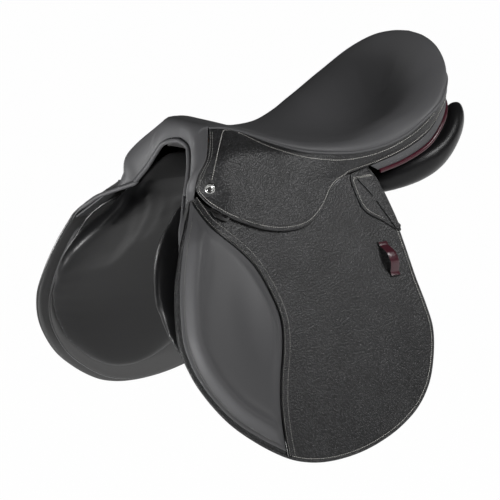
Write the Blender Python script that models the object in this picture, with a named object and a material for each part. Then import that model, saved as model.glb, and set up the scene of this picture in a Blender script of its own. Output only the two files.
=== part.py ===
"""Close-contact jumping saddle, built piece by piece.

Frame: +X runs forward to the pommel, +Y to the near side, +Z up. The origin is the middle of the
gullet channel, level with the underside of the panels. All sizes below are in millimetres.
A point on a side of the saddle is given by its forward place and its depth down the flank,
and by its lift, the distance out from the flap's outer face.
"""
import math

import bpy
import bmesh
from mathutils import Vector
from mathutils.geometry import intersect_ray_tri

MM = 0.001
GAP = 0.3
SEAM_GAP = 0.9
WELT_GAP = 2.4
FACING_GAP = 4.4
CORNER_CLEARANCE = 0.6

# The flank: the outer face of the flap, which hangs from a line beside the tree
FLANK_HALF_WIDTH = 84.8
FLANK_TOP_HEIGHT = 78.5
SPLAY_AT_TOP = math.radians(24.6)
SPLAY_AT_FOOT = math.radians(18.6)
SPLAY_RUN = 420.0

# Towards the head the flank is drawn in, back and down, to the foot of the arch
HEAD_TUCK = 30.0
TUCK_WAY = Vector((0.546, 0.808, 0.223))
TUCK_REAR = 135.0
TUCK_FRONT = 198.0
TUCK_FULL_DEPTH = 38.0
TUCK_END_DEPTH = 106.0
TUCK_STEP = 12.0
TUCK_CUTS = 8
TUCK_CLEARANCE = 1.5

# Layers from the skirt inwards
SKIRT_LEATHER = 3.7
FLAP_LEATHER = 4.7
BILLET_ROOM = 12.0
SWEAT_LEATHER = 3.0
SKIRT_OUTER = GAP + SKIRT_LEATHER
FLAP_INNER = -FLAP_LEATHER
SWEAT_OUTER = FLAP_INNER - BILLET_ROOM
SWEAT_INNER = SWEAT_OUTER - SWEAT_LEATHER
PANEL_OUTER = SWEAT_INNER - GAP

# Folds: the skirt lifts to reach the stirrup bar, the flap lifts to reach the billets
SKIRT_FOLD_DEPTH = 48.5
FLAP_FOLD_DEPTH = 108.0

# Seat layers under the seat's outer surface
COVER_LEATHER = 2.6
FOAM_THICKNESS = 11.0
WEB_THICKNESS = 1.5
TREE_THICKNESS = 8.0
SPRING_THICKNESS = 1.2

# Girth straps
BILLET_WIDTH = 25.0
BILLET_LEATHER = 4.0
BILLET_TOP_DEPTH = 84.0
BILLET_FOOT_DEPTH = 352.0
BILLET_PITCH = 36.0
BILLET_MIDDLE_PLACE = 28.0
HOLE_DIAMETER = 5.0
HOLE_PITCH = 25.0
HOLE_COUNT = 7
LAST_HOLE = 30.0
POINT_SHARE = 0.35
WEB_STRAP_THICKNESS = 2.4
GUARD_LEATHER = 2.2

# Stirrup bar
BAR_WIDTH = 14.0
BAR_THICKNESS = 4.5
BAR_PLATE = 2.6
BAR_PLATE_INNER = -14.0
BAR_OUTER = -1.4
BAR_FRONT = 126.0
BAR_NECK = 8.0
BAR_REAR = 84.0
BAR_DEPTH = 51.0
BAR_STEP = 2.4
TONGUE_LENGTH = 10.0
CATCH_LENGTH = 22.0
CATCH_WIDTH = 11.0
CATCH_THICKNESS = 2.2

# Head plate under the arch of the tree, whose legs carry the stirrup bars
HEAD_PLATE_THICKNESS = 4.0
HEAD_PLATE_REAR = 98.0
HEAD_PLATE_FRONT = 124.0
HEAD_PLATE_ARCH = [(0, 96.2), (24, 95.6), (40, 92.5), (54, 84.5), (66, 72), (77, 55)]

NAIL_DIAMETER = 16.0
NAIL_HEIGHT = 3.0
NAIL_SEAT = 1.2
NAIL_PLACE = (169.0, 39.5)
PIPING_DIAMETER = 5.0
PIPING_STAND = 1.5
REAR_PIPING_DIAMETER = 5.5
ARCH_LEATHER = 2.6
KNEE_PAD_HEIGHT = 9.0
KNEE_PAD_EDGE = 1.2
KNEE_PAD_INSET = 5.0
PATCH_LEATHER = 1.6
CHAPE_LEATHER = 2.0
KEEPER_LEATHER = 2.4

# Seat stations from the pommel to the cantle: spine x z, crest x y z, welt x y z
SEAT_STATIONS = [
    (128, 109, 128, 30, 109, 128, 45, 106),
    (110, 107.5, 110, 36, 107.5, 110, 52, 104.5),
    (92, 103, 91, 44, 102.5, 90, 60, 98),
    (65, 94, 62, 58, 92, 60, 74, 84),
    (38, 86, 35, 70, 84, 33, 86, 74),
    (10, 79, 6, 82, 78, 4, 97, 68),
    (-30, 73, -38, 97, 77, -40, 113, 65),
    (-65, 71.5, -75, 106, 86, -78, 126, 71),
    (-92, 72.5, -101, 112, 97, -109, 133, 83),
    (-115, 76, -130, 116, 110, -135, 136, 100),
    (-135, 83, -163, 113, 131, -162, 132, 117),
    (-152, 93, -190, 99, 156, -188, 112, 138),
    (-164, 103, -205, 66, 176, -208, 80, 147),
    (-171, 110, -213, 33, 185, -219, 40, 151),
    (-174, 113, -215, 0, 188, -222, 0, 152),
]

# The wall below the seat welt, at the same stations: middle x y z, and foot x y z, or on the flank its
# forward place and depth
FLANK_STATIONS = 8
HALF_POINT_BLEND = (60, 130)
WALL_STATIONS = [
    (151.8, 76, 76.2, 188.5, None, 38),
    (134, 86, 78.6, 165, None, SKIRT_FOLD_DEPTH),
    (112, 90, 78, 135, None, SKIRT_FOLD_DEPTH),
    (78, 91.5, 74.5, 95, None, SKIRT_FOLD_DEPTH),
    (48, 94.5, 67, 60, None, SKIRT_FOLD_DEPTH),
    (15, 101, 57, 25, None, SKIRT_FOLD_DEPTH),
    (-33, 110, 53, -25, None, SKIRT_FOLD_DEPTH),
    (-76, 117, 57, -72, None, 41),
    (-112, 129, 71, -112, 121, 59),
    (-141, 134, 90, -145, 128, 79),
    (-167, 128, 111, -172, 120, 101),
    (-193, 107, 125, -196, 100, 113),
    (-212, 77, 132, -213, 72, 119),
    (-222, 38, 136, -222, 36, 122),
    (-225, 0, 137, -225, 0, 123),
]

# Panel sections: x, inner y, roof z, inner foot z, top y z, side y z, low y z
PANEL_STATIONS = [
    (190, 62, 13, 5, 67, 14, 70, 8, 66, 1),
    (181, 59, 19, 7, 65, 20, 72, 8, 63, 0),
    (168, 54, 25, 13, 65, 28, 76, 8, 62, -3),
    (150, 46, 52, 33, 62, 40, 85, 8, 64, -4),
    (120, 35, 68, 42, 64, 46, 90, 8, 65, -5),
    (60, 35, 48, 24, 66, 36, 90, 8, 63, -5.5),
    (0, 35, 34, 6, 68, 32, 90, 8, 62, -6),
    (-50, 35, 31, 3, 74, 31, 90, 8, 66, -5),
    (-80, 35, 33, 6, 84, 33, 95, 12, 84, -1),
    (-110, 35, 37, 10, 104, 40, 113, 22, 102, 4),
    (-150, 35, 45, 18, 115, 56, 125, 36, 109, 12),
    (-185, 35, 57, 30, 110, 73, 124, 54, 109, 27),
    (-215, 38, 72, 48, 90, 104, 112, 82, 101, 52),
    (-233, 48, 84, 64, 80, 104, 94, 88, 86, 68),
    (-241, 60, 92, 78, 74, 100, 80, 91, 74, 79),
]
PANEL_WALL_DEPTH = 32.0
PANEL_WALL_REACH = 0.5
PANEL_FLAP_CROWN = 19.0
PANEL_FLAP_EDGE = 6.0
PANEL_EDGE_DROP = 5.0
PANEL_HEAD_DROP = 2.0
PANEL_ROWS = 27
PANEL_RING = 16

# The arch edge of the pommel facing, from its near foot to the middle
ARCH_EDGE = [(173, 62, 28), (167, 57, 38), (160, 50, 50), (153, 42, 66), (148, 33, 79), (144, 19, 86), (142, 0, 89)]

# Roof of the gullet: x, height at the middle, drop at its sides
GULLET_ROOF = [(139, 83, 8), (120, 77, 6), (60, 55, 4), (0, 40, 3), (-50, 37, 3), (-110, 43, 3), (-150, 51, 3),
               (-185, 63, 3), (-212, 76, 3)]
GULLET_HALF_WIDTH = 34.0
LINING_LEATHER = 2.0

# Facing under the band from the waist to the middle of the cantle: x y z along its lower edge
BLACK_FACING_FOOT = [(-80, 110, 37), (-114, 121, 49), (-147, 127, 67), (-175, 119, 90), (-197, 99, 106),
                     (-214, 70, 113), (-222, 35, 116), (-225, 0, 117)]
FACING_LEATHER = 2.2

# Outlines on the flank, as forward place and depth
FLAP_FRONT = [(227.5, 108), (243, 145), (254, 188), (257, 224), (246, 267), (218, 313), (184, 346),
              (146, 372), (113, 384), (79, 388)]
FLAP_REAR = [(-91.5, 108), (-96, 142), (-101, 188), (-107, 225), (-109, 256), (-100, 290), (-84, 322),
             (-59, 348), (-26, 367), (8, 379), (42, 386), (79, 388)]
KNEE_LINE = [(152, 116), (142, 128), (128, 146), (117, 172), (111, 206), (117, 242), (129, 276), (138, 310),
             (142, 342), (143, 366)]
KNEE_PAD_FRONT = [(222, 116), (243, 148), (254, 191), (257, 227), (246, 270), (218, 316), (184, 349), (151.5, 368.5)]
PANEL_FLAP_FOOT = (116, 343)
PANEL_WALL_OUTER = [(186, 73), (212, 98), (231, 123), (244, 151), (252, 174), (255, 197), (250, 222), (239, 249),
                    (222, 279), (196, 306), (166, 328), (140, 339), PANEL_FLAP_FOOT]
PANEL_WALL_INNER = [(211, 73), (228, 95), (240, 117), (250, 142), (256, 168), (256, 194), (250, 221), (239, 248),
                    (222, 279), (196, 306), (166, 328), (140, 339), PANEL_FLAP_FOOT]
PANEL_FLAP_REAR = [(-74, 73), (-70, 95), (-62, 130), (-50, 178), (-34, 218), (-12, 258), (18, 296), (52, 325),
                   (85, 339), PANEL_FLAP_FOOT]
SWEAT_OUTLINE = [(200, 66), (216, 102), (235, 145), (246, 189), (248, 224), (237, 263), (210, 306), (178, 336),
                 (142, 360), (110, 371), (79, 374), (45, 371), (14, 361), (-16, 345), (-45, 320), (-66, 290),
                 (-78, 255), (-82, 210), (-80, 165), (-76, 120), (-68, 66)]
FLAP_TOP_OUTLINE = [(-91.5, 107.7), (-86, 86), (-78, 62), (-68, 46), (-62, 32), (-56, 25), (68, 25), (68, 66),
                    (178, 66), (182, 50), (196, 50), (210, 75), (222, 98), (227.3, 107.7)]
SKIRT_CORNER_OUTLINE = [(176, 49.3), (173, 60), (151, 77), (134.4, 86.1), (134.4, 49.3)]
SKIRT_OUTLINE = [(134, 49.4), (134, 86.3), (127, 90), (102, 100), (75, 105), (49, 104),
                 (30, 97), (11, 82), (-1, 67), (-16, 54), (-24, 49.4)]
KNEE_BLOCK_OUTLINE = [(218, 118), (234, 150), (243, 190), (244, 225), (234, 257), (212, 252), (209, 222),
                      (208, 190), (202, 152), (190, 122)]
KEEPER_PLACE = (-66.0, 160.0)
KEEPER_REACH = 44.0
KEEPER_WIDTH = 13.0
KEEPER_ROOM = 9.0
KEEPER_LEAN = 8.0
CHAPE_OUTLINE = [(170, 67.5), (155, 78.5), (151, 84), (156, 87), (173, 74)]
GUARD_OUTLINE = [(-22, 24), (78, 24), (80, 106), (60, 116), (-4, 116), (-24, 106)]
THIGH_BLOCK_OUTLINE = [(-52, 215), (-50, 250), (-44, 285), (-58, 288), (-70, 258), (-76, 222), (-66, 210)]
PATCH_OUTLINE = [(-84, 76), (-78, 60), (-69, 47.5), (-40, 47.5), (-42, 80), (-50, 98), (-62, 107.5), (-91, 107.5)]


def ease(value, low, high):
    """0 below low, 1 above high, and smooth between."""
    t = min(max((value - low) / (high - low), 0.0), 1.0)
    return t * t * (3 - 2 * t)


def tuck(place, depth):
    """How far the flank is drawn in at a place."""
    top = 0.5 + 0.5 * ease(depth, 0.0, TUCK_FULL_DEPTH)
    foot = 1 - ease(depth, TUCK_FULL_DEPTH, TUCK_END_DEPTH)
    return HEAD_TUCK * ease(place, TUCK_REAR, TUCK_FRONT) * top * foot


def sunk_flank(place, depth, lift=0.0):
    """A flank point that lies a little deeper where the flank is drawn in, clear of the layer over it."""
    return flank(place, depth, lift - TUCK_CLEARANCE * tuck(place, depth) / HEAD_TUCK)


def even_flank(place, depth, lift=0.0):
    """A point on the near side at a forward place, a depth and a lift, without the tuck at its front."""
    turn = (SPLAY_AT_FOOT - SPLAY_AT_TOP) / SPLAY_RUN
    angle = SPLAY_AT_TOP + turn * depth
    y = FLANK_HALF_WIDTH + (math.cos(SPLAY_AT_TOP) - math.cos(angle)) / turn
    z = FLANK_TOP_HEIGHT - (math.sin(angle) - math.sin(SPLAY_AT_TOP)) / turn
    return Vector((place, y + lift * math.cos(angle), z + lift * math.sin(angle)))


def flank(place, depth, lift=0.0):
    """A point on the near side, drawn in at its upper front corner."""
    return even_flank(place, depth, lift) - TUCK_WAY * tuck(place, depth)


def smooth(points, count, closed=False):
    """Points along a smooth curve through the given ones, evenly spread over its spans."""
    total = len(points)
    spans = total if closed else total - 1
    steps = count if closed else count - 1
    result = []
    for step in range(count):
        place = spans * step / steps
        span = min(int(place), spans - 1)
        t = place - span
        picks = []
        for shift in (-1, 0, 1, 2):
            index = span + shift
            index = index % total if closed else min(max(index, 0), total - 1)
            picks.append(points[index])
        p0, p1, p2, p3 = picks
        result.append(tuple(
            0.5 * (2 * b + (c - a) * t + (2 * a - 5 * b + 4 * c - d) * t * t + (3 * b - a - 3 * c + d) * t ** 3)
            for a, b, c, d in zip(p0, p1, p2, p3)))
    return result


def bezier(p0, p1, p2, p3, spans):
    """Points along a cubic Bezier curve, both ends included."""
    result = []
    for step in range(spans + 1):
        t = step / spans
        s = 1 - t
        result.append(s ** 3 * p0 + 3 * s * s * t * p1 + 3 * s * t * t * p2 + t ** 3 * p3)
    return result


def material(name, colour, roughness, metallic=0.0):
    """A Principled BSDF material, made once for each name."""
    found = bpy.data.materials.get(name)
    if found:
        return found
    made = bpy.data.materials.new(name)
    made.use_nodes = True
    shader = made.node_tree.nodes["Principled BSDF"]
    shader.inputs["Base Color"].default_value = (*colour, 1.0)
    shader.inputs["Roughness"].default_value = roughness
    shader.inputs["Metallic"].default_value = metallic
    return made


def finish_list():
    """The finishes of the saddle by name."""
    return {
        "smooth_calf": material("smooth_calf", (0.012, 0.012, 0.013), 0.38),
        "grained_leather": material("grained_leather", (0.016, 0.016, 0.017), 0.55),
        "lining_leather": material("lining_leather", (0.010, 0.010, 0.010), 0.5),
        "burgundy_leather": material("burgundy_leather", (0.05, 0.012, 0.02), 0.4),
        "strap_leather": material("strap_leather", (0.014, 0.013, 0.013), 0.5),
        "webbing": material("webbing", (0.55, 0.5, 0.4), 0.9),
        "foam": material("foam", (0.45, 0.45, 0.42), 0.95),
        "tree_laminate": material("tree_laminate", (0.35, 0.2, 0.1), 0.6),
        "spring_steel": material("spring_steel", (0.25, 0.25, 0.26), 0.35, 1.0),
        "bright_steel": material("bright_steel", (0.6, 0.6, 0.6), 0.25, 1.0),
    }


def make_object(name, points, faces, finish, pivot=None):
    """One closed body in millimetres; a moving piece gets its parent empty on its joint's axis."""
    mesh = bpy.data.meshes.new(name)
    origin = pivot if pivot is not None else Vector((0, 0, 0))
    mesh.from_pydata([((Vector(p) - origin) * MM)[:] for p in points], [], faces)
    work = bmesh.new()
    work.from_mesh(mesh)
    bmesh.ops.remove_doubles(work, verts=work.verts, dist=0.01 * MM)
    bmesh.ops.recalc_face_normals(work, faces=work.faces)
    if work.calc_volume(signed=True) < 0:
        bmesh.ops.reverse_faces(work, faces=work.faces)
    bmesh.ops.triangulate(work, faces=[f for f in work.faces if len(f.verts) > 4])
    work.to_mesh(mesh)
    work.free()
    mesh.shade_smooth()
    mesh.set_sharp_from_angle(angle=math.radians(35))
    mesh.materials.append(FINISHES[finish])
    result = bpy.data.objects.new(name, mesh)
    bpy.context.scene.collection.objects.link(result)
    if pivot is None:
        return result
    axis = bpy.data.objects.new(name + "_axis", None)
    axis.location = pivot * MM
    bpy.context.scene.collection.objects.link(axis)
    result.parent = axis
    return result


def both_sides(name, points, faces, finish, pivot=None):
    """The near piece and its mirror image on the off side."""
    make_object("near_" + name, points, faces, finish, pivot)
    mirrored = [(p[0], -p[1], p[2]) for p in points]
    mirrored_pivot = Vector((pivot.x, -pivot.y, pivot.z)) if pivot is not None else None
    make_object("off_" + name, mirrored, [tuple(reversed(f)) for f in faces], finish, mirrored_pivot)


def merged(points):
    """The points with those that share a place made one, and each old point's new index."""
    seen = {}
    kept = []
    index = []
    for p in points:
        key = tuple(round(c, 2) for c in p)
        if key not in seen:
            seen[key] = len(kept)
            kept.append(Vector(p))
        index.append(seen[key])
    return kept, index


def renumbered(faces, index):
    """The faces on new indices, without the corners that fell together."""
    result = []
    for face in faces:
        ring = []
        for i in face:
            if not ring or index[i] != ring[-1]:
                ring.append(index[i])
        if ring[0] == ring[-1]:
            ring.pop()
        if len(ring) >= 3:
            result.append(tuple(ring))
    return result


def weld(points, faces):
    """Points that share a place become one, and faces that lost their area go."""
    kept, index = merged(points)
    return kept, renumbered(faces, index)


def normals_of(points, faces):
    """Area-weighted normals at the points."""
    sums = [Vector((0, 0, 0)) for _ in points]
    for face in faces:
        area = Vector((0, 0, 0))
        for i in range(1, len(face) - 1):
            a, b, c = points[face[0]], points[face[i]], points[face[i + 1]]
            area += (b - a).cross(c - a)
        for i in face:
            sums[i] += area
    return [s.normalized() if s.length > 0 else Vector((0, 0, 1)) for s in sums]


def between_sheets(top, bottom, faces):
    """A closed body between two sheets that share their faces."""
    shift = len(top)
    edges = {}
    for face in faces:
        for a, b in zip(face, face[1:] + face[:1]):
            edges[(a, b)] = True
    solid = list(faces)
    solid += [tuple(reversed([i + shift for i in face])) for face in faces]
    for a, b in edges:
        if (b, a) not in edges:
            solid.append((b, a, a + shift, b + shift))
    return list(top) + list(bottom), solid


def thick_sheet(points, faces, depth, thickness, whole=None):
    """A closed body of even thickness, its top face the given depth under the sheet.

    Where the faces are some of a whole sheet's, the whole gives the directions."""
    points, index = merged(points)
    faces = renumbered(faces, index)
    normals = normals_of(points, renumbered(whole, index) if whole else faces)
    used = sorted({i for face in faces for i in face})
    place = {old: new for new, old in enumerate(used)}
    faces = [tuple(place[i] for i in face) for face in faces]
    top = [points[i] - normals[i] * depth for i in used]
    bottom = [points[i] - normals[i] * (depth + thickness) for i in used]
    return between_sheets(top, bottom, faces)


def grid_faces(rows, columns, keep=None):
    """Triangles of a grid of points, all cut the same way so that layers stay parallel; keep picks cells."""
    faces = []
    for r in range(rows - 1):
        for c in range(columns - 1):
            if keep is None or keep(r, c):
                i = r * columns + c
                faces.append((i, i + 1, i + columns))
                faces.append((i + 1, i + columns + 1, i + columns))
    return faces


def plate(outline, low, high, place=flank, holes=(), step=45.0):
    """A flat-cut piece: an outline with holes, laid on the flank between two lifts."""
    work = bmesh.new()
    edges = []
    for loop in [outline, *holes]:
        verts = [work.verts.new((p[0], p[1], 0)) for p in loop]
        edges += [work.edges.new((a, b)) for a, b in zip(verts, verts[1:] + verts[:1])]
    bmesh.ops.triangle_fill(work, edges=edges, use_beauty=True)
    depths = [p[1] for p in outline]
    cuts = int((max(depths) - min(depths)) / step)
    levels = [(min(depths) + (cut + 1) * (max(depths) - min(depths)) / (cuts + 1), (0, 1, 0)) for cut in range(cuts)]
    if max(p[0] for p in outline) > TUCK_REAR and min(depths) < TUCK_END_DEPTH and place is not strap_plane:
        levels += [(TUCK_REAR + TUCK_STEP * n, (1, 0, 0)) for n in range(TUCK_CUTS)]
        levels += [(TUCK_STEP * n, (0, 1, 0)) for n in range(2, TUCK_CUTS + 1)]
    for level, way in levels:
        geometry = list(work.verts) + list(work.edges) + list(work.faces)
        bmesh.ops.bisect_plane(work, geom=geometry, plane_co=[level * w for w in way], plane_no=way)
    work.verts.ensure_lookup_table()
    work.verts.index_update()
    flat = [tuple(v.co[:2]) for v in work.verts]
    faces = []
    for face in work.faces:
        ring = [v.index for v in face.verts]
        if face.normal.z > 0:
            ring.reverse()
        faces.append(tuple(ring))
    work.free()
    top = [place(a, q, high) for a, q in flat]
    bottom = [place(a, q, low) for a, q in flat]
    return between_sheets(top, bottom, faces)


def leaf(front, rear, rows, columns):
    """A grid of flank places between two edge lines that meet at the foot."""
    edge_f = smooth(front, rows)
    edge_r = smooth(rear, rows)
    result = []
    for f, r in zip(edge_f, edge_r):
        for c in range(columns):
            t = c / (columns - 1)
            result.append((r[0] + (f[0] - r[0]) * t, r[1] + (f[1] - r[1]) * t))
    return result


def leaf_solid(front, rear, rows, columns, outer, inner, inner_front=None):
    """A closed piece on a leaf grid; outer and inner give the lifts from across and along."""
    places = leaf(front, rear, rows, columns)
    inner_places = leaf(inner_front or front, rear, rows, columns)
    top = []
    bottom = []
    for n, ((a, q), (inner_a, inner_q)) in enumerate(zip(places, inner_places)):
        along = (n // columns) / (rows - 1)
        across = (n % columns) / (columns - 1)
        top.append(flank(a, q, outer(across, along)))
        bottom.append(flank(inner_a, inner_q, inner(across, along)))
    points, faces = between_sheets(top, bottom, grid_faces(rows, columns))
    return weld(points, faces)


def pillow(across, along, power=4):
    """Cushion height from 0 at the edges to 1 over the middle."""
    u = abs(2 * across - 1)
    v = abs(2 * along - 1)
    return math.sqrt(max(0.0, (1 - u ** power) * (1 - v ** power)))


SEAT_ROWS = 25
SPINE_SPANS = 6
ROLL_SPANS = 4
WALL_SPANS = 6


def seat_rows():
    """Rows of near-side seat points from the spine over the crest to the welt."""
    rows = []
    stations = smooth(SEAT_STATIONS, SEAT_ROWS)
    for n, (sx, sz, cx, cy, cz, wx, wy, wz) in enumerate(stations):
        before = stations[max(n - 1, 0)]
        after = stations[min(n + 1, len(stations) - 1)]
        slope = (after[1] - before[1]) / (after[0] - before[0])
        spine = Vector((sx, 0, sz))
        crest = Vector((cx, cy, cz))
        welt = Vector((wx, wy, wz))
        leave = Vector((cx - sx, cy, 0)) * 0.45
        leave.z = slope * leave.x
        reach = Vector((cx - sx, cy, 0)) * 0.3
        inner = bezier(spine, spine + leave, crest - reach, crest, SPINE_SPANS)
        out = Vector((cx - sx, cy, 0)).normalized()
        spread = max((welt - crest).dot(out), 4.0)
        drop = cz - wz
        outer = bezier(crest, crest + out * spread * 0.5, welt + out * 0.8 + Vector((0, 0, drop * 0.5)), welt,
                       ROLL_SPANS)
        rows.append(inner + outer[1:])
    return rows


def seat_sheet(keep=None):
    """The whole seat surface as points and faces; keep picks faces by row and column from the spine."""
    rows = seat_rows()
    columns = len(rows[0])
    points = [p for row in rows for p in row]
    faces = grid_faces(len(rows), columns, keep)
    shift = len(points)
    points += [Vector((p.x, -p.y, p.z)) for p in points]
    faces += [tuple(reversed([i + shift for i in f])) for f in faces]
    return points, faces


def wall_rows():
    """Rows of near-side points from the welt down to the skirt fold or the band's lower edge.

    At the front each row also passes a point half way down the flank, so that it follows the tuck."""
    front_count = 1 + (SEAT_ROWS - 1) * (FLANK_STATIONS - 1) // (len(WALL_STATIONS) - 1)
    places = smooth([(s[3], s[5]) for s in WALL_STATIONS[:FLANK_STATIONS]], front_count)
    last = flank(*places[-1], SKIRT_OUTER)
    rear = smooth([tuple(last)] + [s[3:] for s in WALL_STATIONS[FLANK_STATIONS:]], SEAT_ROWS - front_count + 1)
    rows = []
    for n, (seat_row, middle) in enumerate(zip(seat_rows(), smooth([s[:3] for s in WALL_STATIONS], SEAT_ROWS))):
        middle = Vector(middle)
        if n < front_count:
            place, depth = places[n]
            foot = flank(place, depth, SKIRT_OUTER)
            top = max(0.0, (FLANK_TOP_HEIGHT - middle.z) / math.cos(SPLAY_AT_TOP))
            drawn = tuck(place, depth) * TUCK_WAY.x
            half = flank((middle.x + place + drawn) / 2, (top + depth) / 2, SKIRT_OUTER)
            half = ((middle + foot) / 2).lerp(half, ease(place, *HALF_POINT_BLEND))
        else:
            foot = Vector(rear[n - front_count + 1])
            half = (middle + foot) / 2
        welt = seat_row[-1]
        start = welt + (middle - welt).normalized() * WELT_GAP
        rows.append([Vector(p) for p in smooth([tuple(p) for p in (start, middle, half, foot)], WALL_SPANS + 1)])
    return rows


def strip_between(edge_a, edge_b, spans, bulge=None):
    """Rows of points from one edge line to another, with an optional bulge at each row's middle."""
    rows = []
    for n, (a, b) in enumerate(zip(edge_a, edge_b)):
        middle = (Vector(a) + Vector(b)) / 2
        if bulge is not None:
            middle += Vector(bulge[n])
        rows.append([Vector(p) for p in smooth([tuple(a), tuple(middle), tuple(b)], spans + 1)])
    return rows


def sheet_of(rows):
    """Points and faces of a list of rows."""
    return [p for row in rows for p in row], grid_faces(len(rows), len(rows[0]))


def tube(path, radius, sides=8):
    """A closed round tube along a path of points."""
    points = []
    total = len(path)
    up = Vector((0.0, 0.0, 1.0))
    for n, p in enumerate(path):
        ahead = (path[min(n + 1, total - 1)] - path[max(n - 1, 0)]).normalized()
        side = ahead.cross(up)
        if side.length < 0.2:
            side = ahead.cross(Vector((1.0, 0.0, 0.0)))
        side.normalize()
        top = side.cross(ahead)
        for s in range(sides):
            angle = 2 * math.pi * s / sides
            points.append(p + (side * math.cos(angle) + top * math.sin(angle)) * radius)
    faces = []
    for n in range(total - 1):
        for s in range(sides):
            a = n * sides + s
            b = n * sides + (s + 1) % sides
            faces.append((a, b, b + sides, a + sides))
    faces.append(tuple(reversed(range(sides))))
    faces.append(tuple((total - 1) * sides + s for s in range(sides)))
    return points, faces


def block(corner_rows):
    """A closed body from two rings of points, one at each end."""
    first, last = corner_rows
    count = len(first)
    points = list(first) + list(last)
    faces = [tuple(range(count)), tuple(reversed(range(count, 2 * count)))]
    for i in range(count):
        j = (i + 1) % count
        faces.append((j, i, i + count, j + count))
    return points, faces


def seat_layer(depth, thickness, keep=None):
    """A layer of even thickness at a depth under the seat surface, over the faces that keep picks."""
    points, whole = seat_sheet()
    faces = seat_sheet(keep)[1]
    return thick_sheet(points, faces, depth, thickness, whole)


def foam_cells(row, column):
    """The seat cells that the foam lies under: it narrows where the cantle rises."""
    if row < 4:
        return False
    return column < (6 if row < 15 else 5 if row < 19 else 4)


def tree_cells(row, column):
    """The seat cells over the tree: its head, its two rails and its cantle plate."""
    if row < 1:
        return False
    if row < 6:
        return column < 5
    if row < 17:
        return column in (3, 4)
    if row < 20:
        return column in (1, 2, 3)
    return column < 2


def make_seat():
    """Cover, foam, webs, tree and spring steels, each at its own depth under the seat surface."""
    make_object("seat_cover", *seat_layer(0.0, COVER_LEATHER), "smooth_calf")
    foam_top = COVER_LEATHER + GAP
    foam = seat_layer(foam_top, FOAM_THICKNESS, foam_cells)
    make_object("seat_foam", *foam, "foam")
    web_top = foam_top + FOAM_THICKNESS + GAP
    web = seat_layer(web_top, WEB_THICKNESS, lambda r, c: 4 <= r < 23 and c < 2)
    make_object("seat_web", *web, "webbing")
    tree_top = web_top + WEB_THICKNESS + GAP
    tree = seat_layer(tree_top, TREE_THICKNESS, tree_cells)
    make_object("tree_frame", *tree, "tree_laminate")
    spring_top = tree_top + TREE_THICKNESS + GAP
    points, whole = seat_sheet()
    near_faces = [f for f in seat_sheet(lambda r, c: 7 <= r < 20 and c == 3)[1] if max(points[i].y for i in f) > 0]
    spring = thick_sheet(points, near_faces, spring_top, SPRING_THICKNESS, whole)
    both_sides("spring_steel", *spring, "spring_steel")


def make_skirts():
    """The wall under the seat welt, and the free lower skirt hinged at its fold."""
    rows = wall_rows()
    points, faces = sheet_of(rows)
    upper = thick_sheet(points, faces, 0.0, SKIRT_LEATHER)
    upper = ([Vector((p.x, max(p.y, GAP / 2), p.z)) for p in upper[0]], upper[1])
    both_sides("skirt_top", *upper, "grained_leather")
    lower = plate(SKIRT_OUTLINE, GAP, SKIRT_OUTER)
    both_sides("skirt", *lower, "grained_leather", flank(0, SKIRT_FOLD_DEPTH, SKIRT_OUTER))
    corner = plate(SKIRT_CORNER_OUTLINE, GAP + CORNER_CLEARANCE, SKIRT_OUTER)
    both_sides("skirt_corner", *corner, "grained_leather")


def wall_hit(place, depth):
    """Where the line through a flank place meets the skirt wall, and the outward direction there."""
    outer = flank(place, depth, 40)
    inward = (flank(place, depth, 0) - outer).normalized()
    points, faces = sheet_of(wall_rows())
    normals = normals_of(points, faces)
    for face in faces:
        hit = intersect_ray_tri(*[points[i] for i in face], inward, outer)
        if hit:
            out = sum((normals[i] for i in face), Vector((0, 0, 0))).normalized()
            return hit, out if out.dot(inward) < 0 else -out
    return flank(place, depth, SKIRT_OUTER), -inward


def make_nails():
    """A domed saddle nail on each front corner of the skirt."""
    centre, out = wall_hit(*NAIL_PLACE)
    forward = (Vector((1, 0, 0)) - out * out.x).normalized()
    down = out.cross(forward)
    profile = [(0.86, 0.0), (1.0, 0.3), (0.96, 0.62), (0.7, 0.92), (0.35, 1.0)]
    sides = 20
    points = []
    for share, height in profile:
        for s in range(sides):
            angle = 2 * math.pi * s / sides
            reach = share * NAIL_DIAMETER / 2
            points.append(centre + out * (NAIL_SEAT + height * NAIL_HEIGHT)
                          + (forward * math.cos(angle) + down * math.sin(angle)) * reach)
    faces = []
    for ring in range(len(profile) - 1):
        for s in range(sides):
            a = ring * sides + s
            b = ring * sides + (s + 1) % sides
            faces.append((a, b, b + sides, a + sides))
    faces.append(tuple(reversed(range(sides))))
    faces.append(tuple((len(profile) - 1) * sides + s for s in range(sides)))
    both_sides("saddle_nail", points, faces, "bright_steel")


def make_flaps():
    """The flap in its fixed top and its free lower part, with what is sewn on it."""
    both_sides("flap_top", *plate(FLAP_TOP_OUTLINE, FLAP_INNER, 0.0, sunk_flank), "grained_leather")
    fold = flank(0, FLAP_FOLD_DEPTH, 0.0)
    flap = leaf_solid(FLAP_FRONT, FLAP_REAR, 22, 5, lambda u, v: 0.0, lambda u, v: FLAP_INNER)
    both_sides("flap", *flap, "grained_leather", fold)
    front = [(a - KNEE_PAD_INSET, q) for a, q in KNEE_PAD_FRONT]
    pad = leaf_solid(front, KNEE_LINE, 15, 9, lambda u, v: GAP + KNEE_PAD_EDGE + KNEE_PAD_HEIGHT * pillow(u, v),
                     lambda u, v: GAP)
    both_sides("knee_pad", *pad, "smooth_calf", fold)
    both_sides("flap_patch", *plate(PATCH_OUTLINE, GAP, GAP + PATCH_LEATHER), "grained_leather")
    both_sides("keeper", *keeper_loop(), "burgundy_leather", fold)
    both_sides("dee_chape", *plate(CHAPE_OUTLINE, 2 * GAP, 2 * GAP + CHAPE_LEATHER), "strap_leather")


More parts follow.
